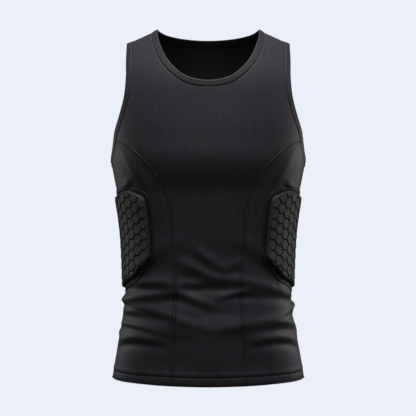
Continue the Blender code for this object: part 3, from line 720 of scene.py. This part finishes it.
def spread(inner_edge, outer_edge, near_marks, far_marks, columns):
    """Places in rows between two edges, and each one's distance from the inner and the outer edge."""
    share = np.linspace(0, 1, ROW_SAMPLES)
    fine = inner_edge[:, None] * (1 - share[:, None]) + outer_edge[:, None] * share[:, None]
    places = []
    from_inner = []
    widths = []
    for inner, outer, line in zip(inner_edge, outer_edge, on_form(fine)):
        run = run_along(line)
        far = run[-1] - np.array(far_marks)
        even = np.linspace(near_marks[-1], far[0], columns + 1)[1:-1]
        marks = np.concatenate([near_marks, even, far])
        at = np.interp(marks, run, share)[:, None]
        places.append(inner * (1 - at) + outer * at)
        from_inner.append(marks)
        widths.append(run[-1])
    from_inner = np.array(from_inner)
    return np.array(places), from_inner, np.array(widths)[:, None] - from_inner


def centre_half(behind):
    """Places and lifts of half the front or back panel, in rows from its middle and neck outward."""
    armhole = armhole_curve(BINDING_WIDTH)
    neck = neck_curve(BINDING_WIDTH, behind)
    corner = BACK_CORNER if behind else FRONT_CORNER
    seam = seam_curve(BACK_SEAM if behind else FRONT_SEAM, armhole[corner], behind)
    edge_above = armhole[corner + 1:] if behind else armhole[:corner][::-1]
    outer_edge = np.concatenate([seam, edge_above])
    middle_angle = math.pi if behind else 0.0
    hem = hem_level(middle_angle)
    chest = seam[-1, 1]
    rise = (chest - CHEST_DROP - hem) / (chest - seam[0, 1])
    straight = hem + (seam[:, 1] - seam[0, 1]) * rise
    upper = np.linspace(straight[-1], neck[0, 1], CHEST_ROWS + 1)[1:]
    middle = np.concatenate([straight, upper])
    inner_edge = np.concatenate([pairs(np.full(len(middle), middle_angle), middle), neck[1:]])
    columns = BACK_COLUMNS if behind else FRONT_COLUMNS
    places, from_inner, from_outer = spread(inner_edge, outer_edge, NEAR_MARKS, FAR_MARKS, columns)
    places[-1, :, 1] = ridge_level(places[-1, :, 0])
    rows = np.arange(len(places))[:, None]
    seamed = np.clip((len(seam) - rows) / SEAM_END_ROWS, 0, 1)
    at_neck = np.clip((rows - len(middle)) / NECK_START_ROWS, 0, 1)
    sewing_lift = twin_seam(from_outer, places[:, -1, 1], OVER_LAP)
    lift = seamed * sewing_lift + (1 - seamed) * bound_edge(from_outer)
    lift = lift + at_neck * bound_edge(from_inner) + hem_relief(places)
    return places, lift


def side_half():
    """Places and lifts of the left side panel, in rows from the front seam round to the back seam."""
    armhole = armhole_curve(BINDING_WIDTH)
    front = seam_curve(FRONT_SEAM, armhole[FRONT_CORNER], False)
    back = seam_curve(BACK_SEAM, armhole[BACK_CORNER], True)
    places, from_front, from_back = spread(front, back, FAR_MARKS[::-1], FAR_MARKS, SIDE_COLUMNS)
    places[0, :, 1] = hem_level(places[0, :, 0])
    under = armhole[FRONT_CORNER:BACK_CORNER + 1]
    along = run_along(on_form(under))
    row_run = run_along(on_form(places[-1]))
    top = resampled(under, along, row_run / row_run[-1] * along[-1]) - places[-1]
    pull = np.linspace(0, 1, len(front))[:, None, None] ** TOP_PULL
    places = places + pull * top[None]
    from_top = np.full(len(front), FAR_AWAY)
    from_top[-len(TOP_MARKS):] = TOP_MARKS
    lift = twin_seam(from_front, places[:, 0, 1], UNDER_LAP)
    lift = lift + twin_seam(from_back, places[:, -1, 1], UNDER_LAP) + hem_relief(places)
    return places, lift + bound_edge(from_top)[:, None]


def mesh_points(piece):
    """A piece's points in millimetres."""
    points = np.empty(len(piece.data.vertices) * 3)
    piece.data.vertices.foreach_get("co", points)
    return points.reshape(-1, 3) / MM


def move_points(piece, points):
    """Sets a piece's points in millimetres."""
    piece.data.vertices.foreach_set("co", (points * MM).ravel())
    piece.data.update()


def level_points(piece, height):
    """Puts all of a piece's points at one height, and gives them."""
    points = mesh_points(piece)
    points[:, 2] = height
    move_points(piece, points)
    return points


def selected(piece):
    """Which of a piece's points are selected."""
    chosen = np.empty(len(piece.data.vertices), dtype=bool)
    piece.data.vertices.foreach_get("select", chosen)
    return chosen


def mesh_of(name, points, faces):
    """A new mesh from points in millimetres and faces."""
    mesh = bpy.data.meshes.new(name)
    mesh.from_pydata((np.asarray(points) * MM).tolist(), [], faces)
    return mesh


def enter(mode):
    """Puts the active piece in edit mode or back in object mode."""
    bpy.ops.object.mode_set(mode=mode)


def select_only(*pieces):
    """Selects some pieces and no other, the first of them active."""
    bpy.ops.object.select_all(action="DESELECT")
    for piece in pieces:
        piece.select_set(True)
    bpy.context.view_layer.objects.active = pieces[0]


def merge_near(distance):
    """Merges the points of the piece in edit mode that lie within a distance in metres."""
    bpy.ops.mesh.select_all(action="SELECT")
    bpy.ops.mesh.remove_doubles(threshold=distance)


def grid_piece(name, points, flat, plies=None):
    """A grid whose corners are moved to rows and columns of points, with a flat map in metres."""
    rows, columns = points.shape[:2]
    bpy.ops.mesh.primitive_grid_add(x_subdivisions=columns - 1, y_subdivisions=rows - 1, size=1)
    made = bpy.context.object
    made.name = name
    mesh = made.data
    mesh.name = name
    shares = mesh_points(made) * MM + 0.5
    column = np.rint(shares[:, 0] * (columns - 1)).astype(int)
    row = np.rint(shares[:, 1] * (rows - 1)).astype(int)
    loops = np.empty(len(mesh.loops), dtype=np.int32)
    mesh.loops.foreach_get("vertex_index", loops)
    mesh.uv_layers[0].data.foreach_set("uv", (flat[row, column][loops] * MM).ravel())
    move_points(made, points[row, column])
    if plies is not None:
        group = made.vertex_groups.new(name="plies")
        for share in np.unique(plies):
            group.add(np.flatnonzero(plies[row] == share).tolist(), share, "REPLACE")
    return made


def joined(name, pieces):
    """Several pieces made one, its name theirs."""
    select_only(*pieces)
    if len(pieces) > 1:
        bpy.ops.object.join()
    pieces[0].name = name
    return pieces[0]


def welded(piece, closed):
    """Merges points that meet, and turns the faces of a closed piece outward."""
    bpy.context.view_layer.objects.active = piece
    enter("EDIT")
    merge_near(WELD)
    if closed:
        bpy.ops.mesh.normals_make_consistent(inside=False)
    enter("OBJECT")


def finished(piece, material, nodes, angle=SMOOTH_ANGLE):
    """Smooths a piece up to an angle, gives it its material and ties it to the frame."""
    select_only(piece)
    bpy.ops.object.shade_smooth_by_angle(angle=angle)
    piece.data.materials.clear()
    piece.data.materials.append(material)
    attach(piece, "root")
    if nodes:
        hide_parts(*nodes)
    return piece


def cloth_wall(name, sheets):
    """Sheets sewn into one and given the cloth's thickness inward, doubled in the turned hem."""
    piece = joined(name, sheets)
    welded(piece, False)
    wall = piece.modifiers.new("cloth", "SOLIDIFY")
    wall.thickness = HEM_PLY * MM
    wall.offset = -1
    wall.vertex_group = "plies"
    bpy.ops.object.modifier_apply(modifier="cloth")
    return piece


def centre_panel(name, behind):
    """The front or back panel: two mirrored halves, whose columns run with the angle."""
    places, lift = centre_half(behind)
    middle = math.pi if behind else 0.0
    plies = hem_plies(len(places))
    halves = []
    for side in (1, -1):
        half = mirrored(places, side)
        points = lifted(half, lift)
        points[-1, :, 1] = 0.0
        flat = pairs((half[..., 0] - side * middle) * GIRTH_RADIUS, half[..., 1])
        order = slice(None, None, -1) if (side > 0) == behind else slice(None)
        halves.append(grid_piece(name, points[:, order], flat[:, order], plies))
    return cloth_wall(name, halves)


def side_panel(name, side):
    """A side panel, whose columns run with the angle."""
    places, lift = side_half()
    turned = mirrored(places, side)
    points = lifted(turned, lift)
    flat = pairs(turned[..., 0] * GIRTH_RADIUS, turned[..., 1])
    order = slice(None) if side > 0 else slice(None, None, -1)
    sheet = grid_piece(name, points[:, order], flat[:, order], hem_plies(len(places)))
    return cloth_wall(name, [sheet])


def ring_piece(name, sections):
    """A closed ring from stations of section points, mapped flat along and across."""
    ring = closed_loop(sections)
    ring = np.concatenate([ring, ring[:, :1]], axis=1)
    flat = np.stack(np.meshgrid(run_along(ring[0]), run_along(ring[:, 0])), axis=-1)
    piece = grid_piece(name, ring, flat)
    welded(piece, True)
    return piece


def neck_loop(distance):
    """The whole neck line at a distance from its free edge."""
    front = neck_curve(distance, False)
    back = neck_curve(distance, True)
    half = np.concatenate([front, back[-2::-1]])
    return np.concatenate([half, mirrored(half[1:-1][::-1], -1)])


def armhole_loop(distance, side):
    """The whole armhole line of one side at a distance from its free edge."""
    return mirrored(armhole_curve(distance)[:-1], side)


def band(name, loop):
    """A folded band round an opening, from the function that gives its lines."""
    rows = [lifted(loop(point.away), point.lift) for point in BAND_SECTION]
    return ring_piece(name, np.stack(rows, axis=1))


def side_angle(forward, height):
    """The angle at a distance round the form from the side line, forward of it if positive."""
    angle = np.full(np.shape(forward), math.pi / 2)
    for _ in range(ROUND_STEPS):
        around, _ = slopes(base, angle, height)
        angle = angle - forward / ROUND_STEPS / np.linalg.norm(around, axis=-1)
    return angle


def pad_places(flat, side):
    """Places on the form from flat pad points, given as distance forward and height."""
    angle = side_angle(flat[..., 0], flat[..., 1])
    return pairs(side * angle, flat[..., 1])


def pad_outline(inset):
    """The pad's flat outline moved in by an inset, its corners rounded by arcs."""
    outline = []
    corners = np.array(PAD_CORNERS)[:, :2]
    for number, row in enumerate(PAD_CORNERS):
        before = unit(corners[number - 1] - corners[number])
        after = unit(corners[(number + 1) % len(corners)] - corners[number])
        half_turn = math.acos(np.clip(before @ after, -1, 1)) / 2
        centre = corners[number] + unit(before + after) * row.rounding / math.sin(half_turn)
        start = np.array([before[1], -before[0]])
        end = np.array([-after[1], after[0]])
        sweep = math.pi - 2 * half_turn
        for share in np.linspace(0, 1, CORNER_STEPS + 1):
            spin = math.sin((1 - share) * sweep) * start + math.sin(share * sweep) * end
            outline.append(centre + spin / math.sin(sweep) * (row.rounding - inset))
    return np.array(outline)


def outline_side(points, outline):
    """Unit vectors from flat points to the nearest place on a closed outline around them."""
    edge = np.roll(outline, -1, axis=0) - outline
    share = np.clip(dot(points[:, None] - outline, edge) / dot(edge, edge), 0, 1)
    away = outline + share[..., None] * edge - points[:, None]
    nearest = np.argmin(np.linalg.norm(away, axis=-1), axis=1)
    return unit(away[np.arange(len(points)), nearest])


def cell_lattice(name):
    """Flat honeycomb cells over more than the pad: two cells, copied over a slanted lattice."""
    first = (CELL_PLACE + CELL_PITCH * CELL_FIRST) * MM
    size = CELL_PITCH * MM * np.array([2 / 3, 1 / math.sqrt(3)])
    half_step = CELL_PITCH * MM * np.array([1, 0.5])
    bpy.ops.mesh.primitive_circle_add(vertices=6, radius=1, fill_type="NGON")
    piece = bpy.context.object
    piece.name = name
    enter("EDIT")
    bpy.ops.transform.rotate(value=math.pi / 2, orient_axis="Z", center_override=(0, 0, 0))
    bpy.ops.transform.resize(value=(*size, 1), center_override=(0, 0, 0))
    bpy.ops.transform.translate(value=(*first, 0))
    bpy.ops.mesh.duplicate_move(TRANSFORM_OT_translate={"value": (*half_step, 0)})
    enter("OBJECT")
    for count, step in ((CELL_PAIRS, (2 * CELL_PITCH[0], 0)), (CELL_ROWS, (0, CELL_PITCH[1]))):
        copies = piece.modifiers.new("lattice", "ARRAY")
        copies.count = count
        copies.use_relative_offset = False
        copies.use_constant_offset = True
        copies.constant_offset_displace = (step[0] * MM, step[1] * MM, 0)
        bpy.ops.object.modifier_apply(modifier="lattice")
    points = mesh_points(piece)
    points[:, 0] += CELL_SLANT * (points[:, 1] - CELL_PLACE[1])
    move_points(piece, points)
    return piece


def flat_honeycomb(name):
    """Flat honeycomb cells cut to the pad's inner outline."""
    piece = cell_lattice(name)
    enter("EDIT")
    merge_near(CELL_CLOSE * MM)
    inner = pad_outline(RIM_WIDTH)
    for start, end in zip(inner, np.roll(inner, -1, axis=0)):
        along = unit(end - start)
        bpy.ops.mesh.select_all(action="SELECT")
        bpy.ops.mesh.bisect(
            plane_co=(start[0] * MM, start[1] * MM, 0),
            plane_no=(-along[1], along[0], 0),
            clear_outer=True,
        )
    merge_near(CELL_CLOSE * MM)
    enter("OBJECT")
    return piece


def cell_room(piece, points):
    """The room in each cell: the least distance from its middle to its sides."""
    room = []
    for face in piece.data.polygons:
        middle = np.array(face.center) / MM
        ring = points[list(face.vertices)]
        edges = np.roll(ring, -1, axis=0) - ring
        areas = np.abs(np.cross(edges[:, :2], middle[:2] - ring[:, :2]))
        room.append((areas / np.linalg.norm(edges, axis=1)).min())
    return np.array(room)


def tilted_tops(piece):
    """Tilts the selected cell tops, each about its middle, up toward its lower front."""
    points = mesh_points(piece)
    for face in piece.data.polygons:
        if face.select:
            ring = list(face.vertices)
            points[ring, 2] += (points[ring, :2] - points[ring, :2].mean(axis=0)) @ CELL_TILT
    move_points(piece, points)


def outer_sides(piece):
    """The sides of a sheet's faces that lie on its outline."""
    rings = [list(face.vertices) for face in piece.data.polygons]
    sides = Counter(frozenset(side) for ring in rings for side in zip(ring, ring[1:] + ring[:1]))
    return {side for side, count in sides.items() if count == 1}


def groove_ends(piece):
    """Flat places on the outline of a flat honeycomb where two cells meet."""
    outer = {corner for side in outer_sides(piece) for corner in side}
    cells = Counter(corner for face in piece.data.polygons for corner in face.vertices)
    points = mesh_points(piece)
    return np.array([points[corner, :2] for corner in sorted(outer) if cells[corner] > 1])


def notched(piece):
    """Adds a point near both ends of each longer side on the outline."""
    outer = outer_sides(piece)
    points = list(mesh_points(piece))
    rings = []
    for face in piece.data.polygons:
        ring = list(face.vertices)
        longer = []
        for first, last in zip(ring, ring[1:] + ring[:1]):
            longer.append(first)
            length = np.linalg.norm(points[last] - points[first])
            if frozenset((first, last)) in outer and length > NOTCHED_SIDE:
                near = (points[last] - points[first]) * CELL_NOTCH / length
                longer += [len(points), len(points) + 1]
                points += [points[first] + near, points[last] - near]
        rings.append(longer)
    piece.data = mesh_of(piece.name, points, rings)


def raised_cells(piece):
    """Insets each cell of a flat honeycomb and raises it in steps; cut slivers rise in fewer."""
    room = cell_room(piece, level_points(piece, PAD_GROOVE))
    cells = room > CELL_LEAST
    slivers = (room > SLIVER_LEAST) & ~cells
    enter("EDIT")
    bpy.ops.mesh.select_mode(type="FACE")
    for chosen, steps in ((cells, CELL_STEPS), (slivers, SLIVER_STEPS)):
        bpy.ops.mesh.select_all(action="DESELECT")
        enter("OBJECT")
        for number in np.flatnonzero(chosen):
            piece.data.polygons[int(number)].select = True
        enter("EDIT")
        for step in steps:
            bpy.ops.mesh.inset(thickness=step.inward * MM, depth=step.rise * MM, use_individual=True)
        enter("OBJECT")
        tilted_tops(piece)
        enter("EDIT")
    enter("OBJECT")


def rimmed(piece, grooves):
    """Runs a rounded rim out from a pad's cells, down its edge and back under it.

    The grooves between the cells run out into the rim.
    """
    outline = pad_outline(0.0)
    enter("EDIT")
    bpy.ops.mesh.select_mode(type="EDGE")
    bpy.ops.mesh.select_all(action="DESELECT")
    bpy.ops.mesh.select_non_manifold(extend=False, use_wire=False, use_multi_face=False,
                                     use_non_contiguous=False, use_verts=False)
    enter("OBJECT")
    edge = selected(piece)
    points = mesh_points(piece)
    apart = np.linalg.norm(points[:, None, :2] - grooves[None], axis=-1).min(axis=1)
    points[edge, 2] = np.where(apart[edge] < WELD / MM, NOTCH_LIFT, RIM_TOP)
    move_points(piece, points)
    enter("EDIT")
    gone = 0.0
    for step in RIM_SECTION:
        bpy.ops.mesh.extrude_region_move()
        enter("OBJECT")
        chosen = selected(piece)
        points = mesh_points(piece)
        if not gone:
            side = outline_side(points[chosen, :2], outline)
        points[chosen, :2] += side * (step.out - gone)
        points[chosen, 2] = step.lift
        gone = step.out
        move_points(piece, points)
        enter("EDIT")
    enter("OBJECT")


def flat_pad(name):
    """A whole pad laid flat: raised cells in a rounded rim over a plain underside."""
    top = flat_honeycomb(name)
    grooves = groove_ends(top)
    bpy.ops.object.duplicate()
    under = bpy.context.object
    notched(under)
    level_points(under, PAD_FOOT)
    select_only(top)
    raised_cells(top)
    notched(top)
    rimmed(top, grooves)
    piece = joined(name, [top, under])
    welded(piece, True)
    return piece


def rib_pad(name, side):
    """A foam pad wrapped on the side of the form, its flat place forward and its height kept."""
    piece = flat_pad(name)
    points = mesh_points(piece)
    height = piece.data.attributes.new("height", "FLOAT", "POINT")
    height.data.foreach_set("value", points[:, 2])
    move_points(piece, lifted(pad_places(points[:, :2], side), points[:, 2]))
    welded(piece, True)
    return piece


def flange_curve(share, side):
    """Places round the pad at a share of the flange's width, which is most at the top."""
    outline = closed_loop(pad_outline(0.0))
    run = run_along(outline)
    marks = []
    for start, end in zip(run[:-1], run[1:]):
        steps = max(1, round((end - start) / FLANGE_STEP))
        marks += [start + (end - start) * step / steps for step in range(steps)]
    flat = resampled(outline, run, marks)
    along = unit(np.roll(flat, -1, axis=0) - np.roll(flat, 1, axis=0))
    away = pairs(-along[:, 1], along[:, 0])
    upward = np.clip(away[:, 1], 0, 1)
    width = FLANGE_WIDTH + (FLANGE_TOP_WIDTH - FLANGE_WIDTH) * upward
    return pad_places(flat + away * (FLANGE_CLEAR + width * share)[:, None], side)


def pad_flange(name, side):
    """The border sewn down round a pad, sunk in along its stitches."""
    rows = [lifted(flange_curve(point.share, side), point.lift) for point in FLANGE_SECTION]
    return ring_piece(name, np.stack(rows, axis=1))


def stitch_shape():
    """One stitch of thread: points in shares of its length and thickness, and its faces."""
    bpy.ops.mesh.primitive_uv_sphere_add(segments=6, ring_count=4, radius=0.5)
    made = bpy.context.object
    enter("EDIT")
    bpy.ops.transform.rotate(value=math.pi / 2, orient_axis="Y", center_override=(0, 0, 0))
    enter("OBJECT")
    points = mesh_points(made) * MM
    faces = [tuple(face.vertices) for face in made.data.polygons]
    bpy.data.objects.remove(made, do_unlink=True)
    return points, faces


def stitches(name, paths, thread):
    """Stitches laid end to end along lines of places, each line with its lift."""
    shape, shape_faces = stitch_shape()
    points = []
    faces = []
    for places, lift in paths:
        line = lifted(places, lift)
        run = run_along(line)
        marks = np.arange(STITCH_PITCH / 2, run[-1], STITCH_PITCH)
        middles = resampled(line, run, marks)
        ahead = resampled(line, run, marks + ALONG_STEP)
        along = unit(ahead - resampled(line, run, marks - ALONG_STEP))
        out = resampled(outward(folded, places[:, 0], places[:, 1]), run, marks)
        out = unit(out - along * dot(out, along)[:, None])
        across = np.cross(out, along)
        spans = np.stack([along * STITCH_LENGTH, across * thread, out * THREAD], axis=1)
        for middle, span in zip(middles, spans):
            start = len(points) * len(shape)
            points.append(middle + shape @ span)
            faces += [tuple(start + corner for corner in face) for face in shape_faces]
    made = bpy.data.objects.new(name, mesh_of(name, np.concatenate(points), faces))
    bpy.context.scene.collection.objects.link(made)
    return made


def linear(colour):
    """A linear colour from an sRGB hex value, by the curve of the sRGB standard."""
    shades = np.array([int(colour[start:start + 2], 16) / 255 for start in (1, 3, 5)])
    bright = ((shades + 0.055) / 1.055) ** 2.4
    return [*np.where(shades <= 0.04045, shades / 12.92, bright), 1.0]


def settle(node, settings=None, links=None):
    """Gives a node its settings, and links its inputs from other nodes' outputs."""
    for key, value in (settings or {}).items():
        if isinstance(key, int) or key in node.inputs:
            node.inputs[key].default_value = value
        else:
            setattr(node, key, value)
    for key, source in (links or {}).items():
        node.id_data.links.new(source, node.inputs[key])


def add(tree, kind, settings=None, links=None):
    """Adds a node with its settings and links."""
    node = tree.nodes.new(kind)
    settle(node, settings, links)
    return node


def noise(tree, place, scale, detail):
    """A pattern of soft random patches, as a number."""
    settings = {"Scale": scale, "Detail": detail}
    return add(tree, "ShaderNodeTexNoise", settings, {"Vector": place}).outputs["Fac"]


def ramp(tree, source, low, high, start=0.3, end=0.7):
    """Two colours spread over a range of a pattern."""
    node = add(tree, "ShaderNodeValToRGB", links={"Fac": source})
    node.color_ramp.elements[0].position = start
    node.color_ramp.elements[1].position = end
    node.color_ramp.elements[0].color = low
    node.color_ramp.elements[1].color = high
    return node.outputs["Color"]


def fine_relief(tree, height, strength, distance):
    """Fine relief from a pattern, as a normal."""
    settings = {"Strength": strength, "Distance": distance}
    return add(tree, "ShaderNodeBump", settings, {"Height": height}).outputs["Normal"]


def grey(value):
    """A grey for a pattern that drives a number."""
    return [value, value, value, 1.0]


def new_material(name):
    """A new material, its node tree and its shader."""
    material = bpy.data.materials.new(name)
    material.use_nodes = True
    return material, material.node_tree, material.node_tree.nodes["Principled BSDF"]


def knit(name, low, high, rib, streak):
    """Black stretch warp knit: fine wales up the cloth that catch a soft, grainy, streaky light.

    The wales and loops are under a millimetre apart in life and are drawn coarser here to show.
    """
    material, tree, shader = new_material(name)
    place = add(tree, "ShaderNodeUVMap", {"uv_map": "UVMap"}).outputs["UV"]
    patterns = []
    for pitch, stretch, detail in ((streak, STREAK_STRETCH, 3.0), (rib, LOOP_STRETCH, 2.0)):
        scale = (1 / (pitch * MM), stretch / (pitch * MM), 1)
        sized = add(tree, "ShaderNodeMapping", {"Scale": scale}, {"Vector": place})
        patterns.append(noise(tree, sized.outputs["Vector"], 1.0, detail))
    streaks, loops = patterns
    faint = add(tree, "ShaderNodeMath", {"operation": "MULTIPLY", 1: STREAK_SHARE}, {0: streaks})
    mixing = {"operation": "MULTIPLY_ADD", 1: 1 - STREAK_SHARE}
    mixed = add(tree, "ShaderNodeMath", mixing, {0: loops, 2: faint.outputs[0]}).outputs[0]
    settings = {"Specular IOR Level": 0.2, "Sheen Weight": 0.02, "Sheen Roughness": 0.4}
    settle(shader, settings, {
        "Base Color": ramp(tree, mixed, linear(low), linear(high), *KNIT_RANGE),
        "Roughness": ramp(tree, loops, grey(0.52), grey(0.62)),
        "Normal": fine_relief(tree, mixed, 0.4, 0.0004),
    })
    return material


def foam(name):
    """Moulded closed-cell foam: matt black skin with a very fine grain, and painted shade that darkens it
    where it lies low, in the grooves and at the foot.
    """
    material, tree, shader = new_material(name)
    place = add(tree, "ShaderNodeTexCoord").outputs["Object"]
    grain = noise(tree, place, FOAM_GRAIN, 2.0)
    mottle = noise(tree, place, FOAM_MOTTLE, 2.0)
    skin = ramp(tree, mottle, linear("#2d2c2d"), linear("#353436"))
    height = add(tree, "ShaderNodeAttribute", {"attribute_name": "height"}).outputs["Fac"]
    # Painted shade: the skin colour is scaled down where the foam lies low, in the grooves and at the foot
    groove_shade = add(tree, "ShaderNodeMapRange", FOAM_GROOVE_SHADE, {"Value": height}).outputs[0]
    shade = add(tree, "ShaderNodeVectorMath", {"operation": "SCALE"}, {0: skin, "Scale": groove_shade})
    settle(shader, {"Specular IOR Level": 0.12}, {
        "Base Color": shade.outputs[0],
        "Roughness": ramp(tree, grain, grey(0.6), grey(0.7)),
        "Normal": fine_relief(tree, grain, 0.2, 0.0002),
    })
    return material


def thread(name):
    """Spun polyester thread: black, a little glossy, its plies twisted across each stitch."""
    material, tree, shader = new_material(name)
    place = add(tree, "ShaderNodeTexCoord").outputs["Object"]
    plies = noise(tree, place, THREAD_PLIES, 1.0)
    settle(shader, {"Specular IOR Level": 0.3}, {
        "Base Color": ramp(tree, plies, linear("#040405"), linear("#0a0a0b")),
        "Roughness": ramp(tree, plies, grey(0.45), grey(0.6)),
    })
    return material


def backdrop_material(name):
    """Pale seamless studio paper, matt and even."""
    material, tree, shader = new_material(name)
    place = add(tree, "ShaderNodeTexCoord").outputs["Object"]
    fibre = noise(tree, place, PAPER_FIBRE, 2.0)
    paper = ramp(tree, fibre, linear("#e6eaf2"), linear(PALE))
    settle(shader, {"Roughness": 0.9}, {"Base Color": paper})
    return material


def panels(cloth):
    """The four cut panels, each put in place of its solid."""
    front = finished(centre_panel("front_panel_cloth", False), cloth, ["front_panel"])
    back = finished(centre_panel("back_panel_cloth", True), cloth, ["back_panel"])
    for name, side in SIDES:
        made = side_panel(f"side_panel_cloth_{name}", side)
        piece = finished(made, cloth, [f"side_panel_{name}"])


def bindings(trim):
    """The folded bands round the neck and the armholes."""
    piece = finished(band("neck_band", neck_loop), trim, ["neck_binding"])
    for name, side in SIDES:
        made = band(f"armhole_band_{name}", lambda distance, side=side: armhole_loop(distance, side))
        piece = finished(made, trim, [f"armhole_binding_{name}"])


def pads(skin, shaded_welt):
    """The foam rib pads and the flanges that hold them down."""
    for name, side in SIDES:
        made = rib_pad(f"rib_pad_foam_{name}", side)
        pad = finished(made, skin, [f"rib_pad_{name}"], FACET_ANGLE)
        made = pad_flange(f"pad_flange_band_{name}", side)
        # The flange's knit is darkened with painted shade
        piece = finished(made, shaded_welt, [f"pad_flange_{name}"])


def sewn(name, paths, yarn, thread=THREAD):
    """One piece of thread: rows of stitches, each a line of places and its lift."""
    finished(stitches(name, paths, thread), yarn, [])


def sewing(yarn):
    """Every row of stitches: seams, hem, bands and flanges."""
    seam_column = -1 - FAR_MARKS[::-1].index(STITCH_AWAY)
    hem_row = HEM_MARKS.index(HEM_STITCHES)
    for name, behind in (("front", False), ("back", True)):
        places, _ = centre_half(behind)
        paths = []
        for side in (1, -1):
            half = mirrored(places, side)
            line = half[:SEAM_ROWS, seam_column]
            straight = line[line[:, 1] < SEAM_CURVE + SEAM_EASE / 2]
            paths += [(straight, ROW_LIFT - STITCH_DENT), (half[hem_row], ROW_LIFT - HEM_DENT)]
        sewn(f"stitches_{name}_panel", paths, yarn)
    places, _ = side_half()
    for name, side in SIDES:
        half = mirrored(places, side)
        paths = [(half[:, column], ROW_LIFT - STITCH_DENT) for column in (seam_column, -1 - seam_column)]
        paths.append((half[hem_row], ROW_LIFT - HEM_DENT))
        sewn(f"stitches_side_panel_{name}", paths, yarn)
        row = closed_loop(flange_curve(FLANGE_STITCHES, side))
        sewn(f"stitches_pad_flange_{name}", [(row, FLANGE_ROW_LIFT)], yarn)
        # Partly painted shadow: this broad black row stands for the gutter's stitches and also darkens the
        # gutter beside the pad
        row = closed_loop(flange_curve(GUTTER_STITCHES, side))
        sewn(f"stitches_and_painted_shadow_pad_gutter_{name}", [(row, GUTTER_ROW_LIFT)], yarn, GUTTER_THREAD_AND_SHADOW)
        paths = [(mirrored(armhole_curve(row.away), side), row.lift) for row in BAND_ROWS]
        sewn(f"stitches_armhole_{name}", paths, yarn)
    neck_row = BAND_ROWS[0]
    sewn("stitches_neck", [(closed_loop(neck_loop(neck_row.away)), neck_row.lift)], yarn)


def soft_light(box):
    """A soft box at its place, turned to face the vest."""
    lamp = bpy.data.lights.new(box.name, "AREA")
    lamp.shape = "RECTANGLE"
    lamp.size = box.width
    lamp.size_y = box.height
    lamp.energy = box.power
    made = bpy.data.objects.new(box.name, lamp)
    made.location = box.place
    away = np.array(box.place, float) - np.array(LIGHT_AIM)
    level_run = math.hypot(away[0], away[1])
    made.rotation_euler = (math.atan2(level_run, away[2]), 0, math.atan2(away[0], -away[1]))
    bpy.context.scene.collection.objects.link(made)


def studio():
    """Even pale surroundings, a floor, soft boxes above and at both sides, and the camera."""
    scene = bpy.context.scene
    scene.view_settings.view_transform = "Standard"
    world = bpy.data.worlds.new("studio")
    world.use_nodes = True
    scene.world = world
    tree = world.node_tree
    seen = tree.nodes["Background"]
    seen.inputs["Color"].default_value = linear(PALE)
    fill = add(tree, "ShaderNodeBackground", {"Color": linear(PALE), "Strength": FILL})
    ray = add(tree, "ShaderNodeLightPath")
    mix = add(tree, "ShaderNodeMixShader", links={
        "Fac": ray.outputs["Is Camera Ray"], 1: fill.outputs[0], 2: seen.outputs[0]})
    tree.links.new(mix.outputs[0], tree.nodes["World Output"].inputs["Surface"])
    bpy.ops.mesh.primitive_plane_add(size=FLOOR_SIDE)
    floor = bpy.context.object
    floor.name = "studio_floor"
    enter("EDIT")
    bpy.ops.transform.translate(value=(0, 0, FLOOR_LEVEL))
    enter("OBJECT")
    floor.data.materials.append(backdrop_material("pale studio paper"))
    for box in SOFT_BOXES:
        soft_light(box)
    lens = bpy.data.cameras.new("photo_camera")
    lens.sensor_width = SENSOR
    lens.lens = SENSOR * CAMERA_AWAY / (PHOTO_SIDE * PIXEL)
    camera = bpy.data.objects.new("photo_camera", lens)
    camera.location = CAMERA_PLACE
    camera.rotation_euler = (math.pi / 2, 0, 0)
    scene.collection.objects.link(camera)
    scene.camera = camera


def main():
    """Makes the vest and the studio."""
    cloth = knit("black stretch warp knit", "#1c1a1e", "#312e34", rib=1.5, streak=2.4)
    trim = knit("black folded binding knit", "#1d1b1f", "#2a282c", rib=1.4, streak=2.2)
    # Painted shade: the pad border knit is given darker colours than the binding knit, to stand in for the
    # shade round the pad's border
    shaded_welt = knit("black border knit darkened by painted shade", "#141315", "#232125", rib=1.4, streak=2.2)
    skin = foam("black moulded closed-cell foam")
    yarn = thread("black spun polyester thread")
    studio()
    panels(cloth)
    bindings(trim)
    pads(skin, shaded_welt)
    sewing(yarn)


main()
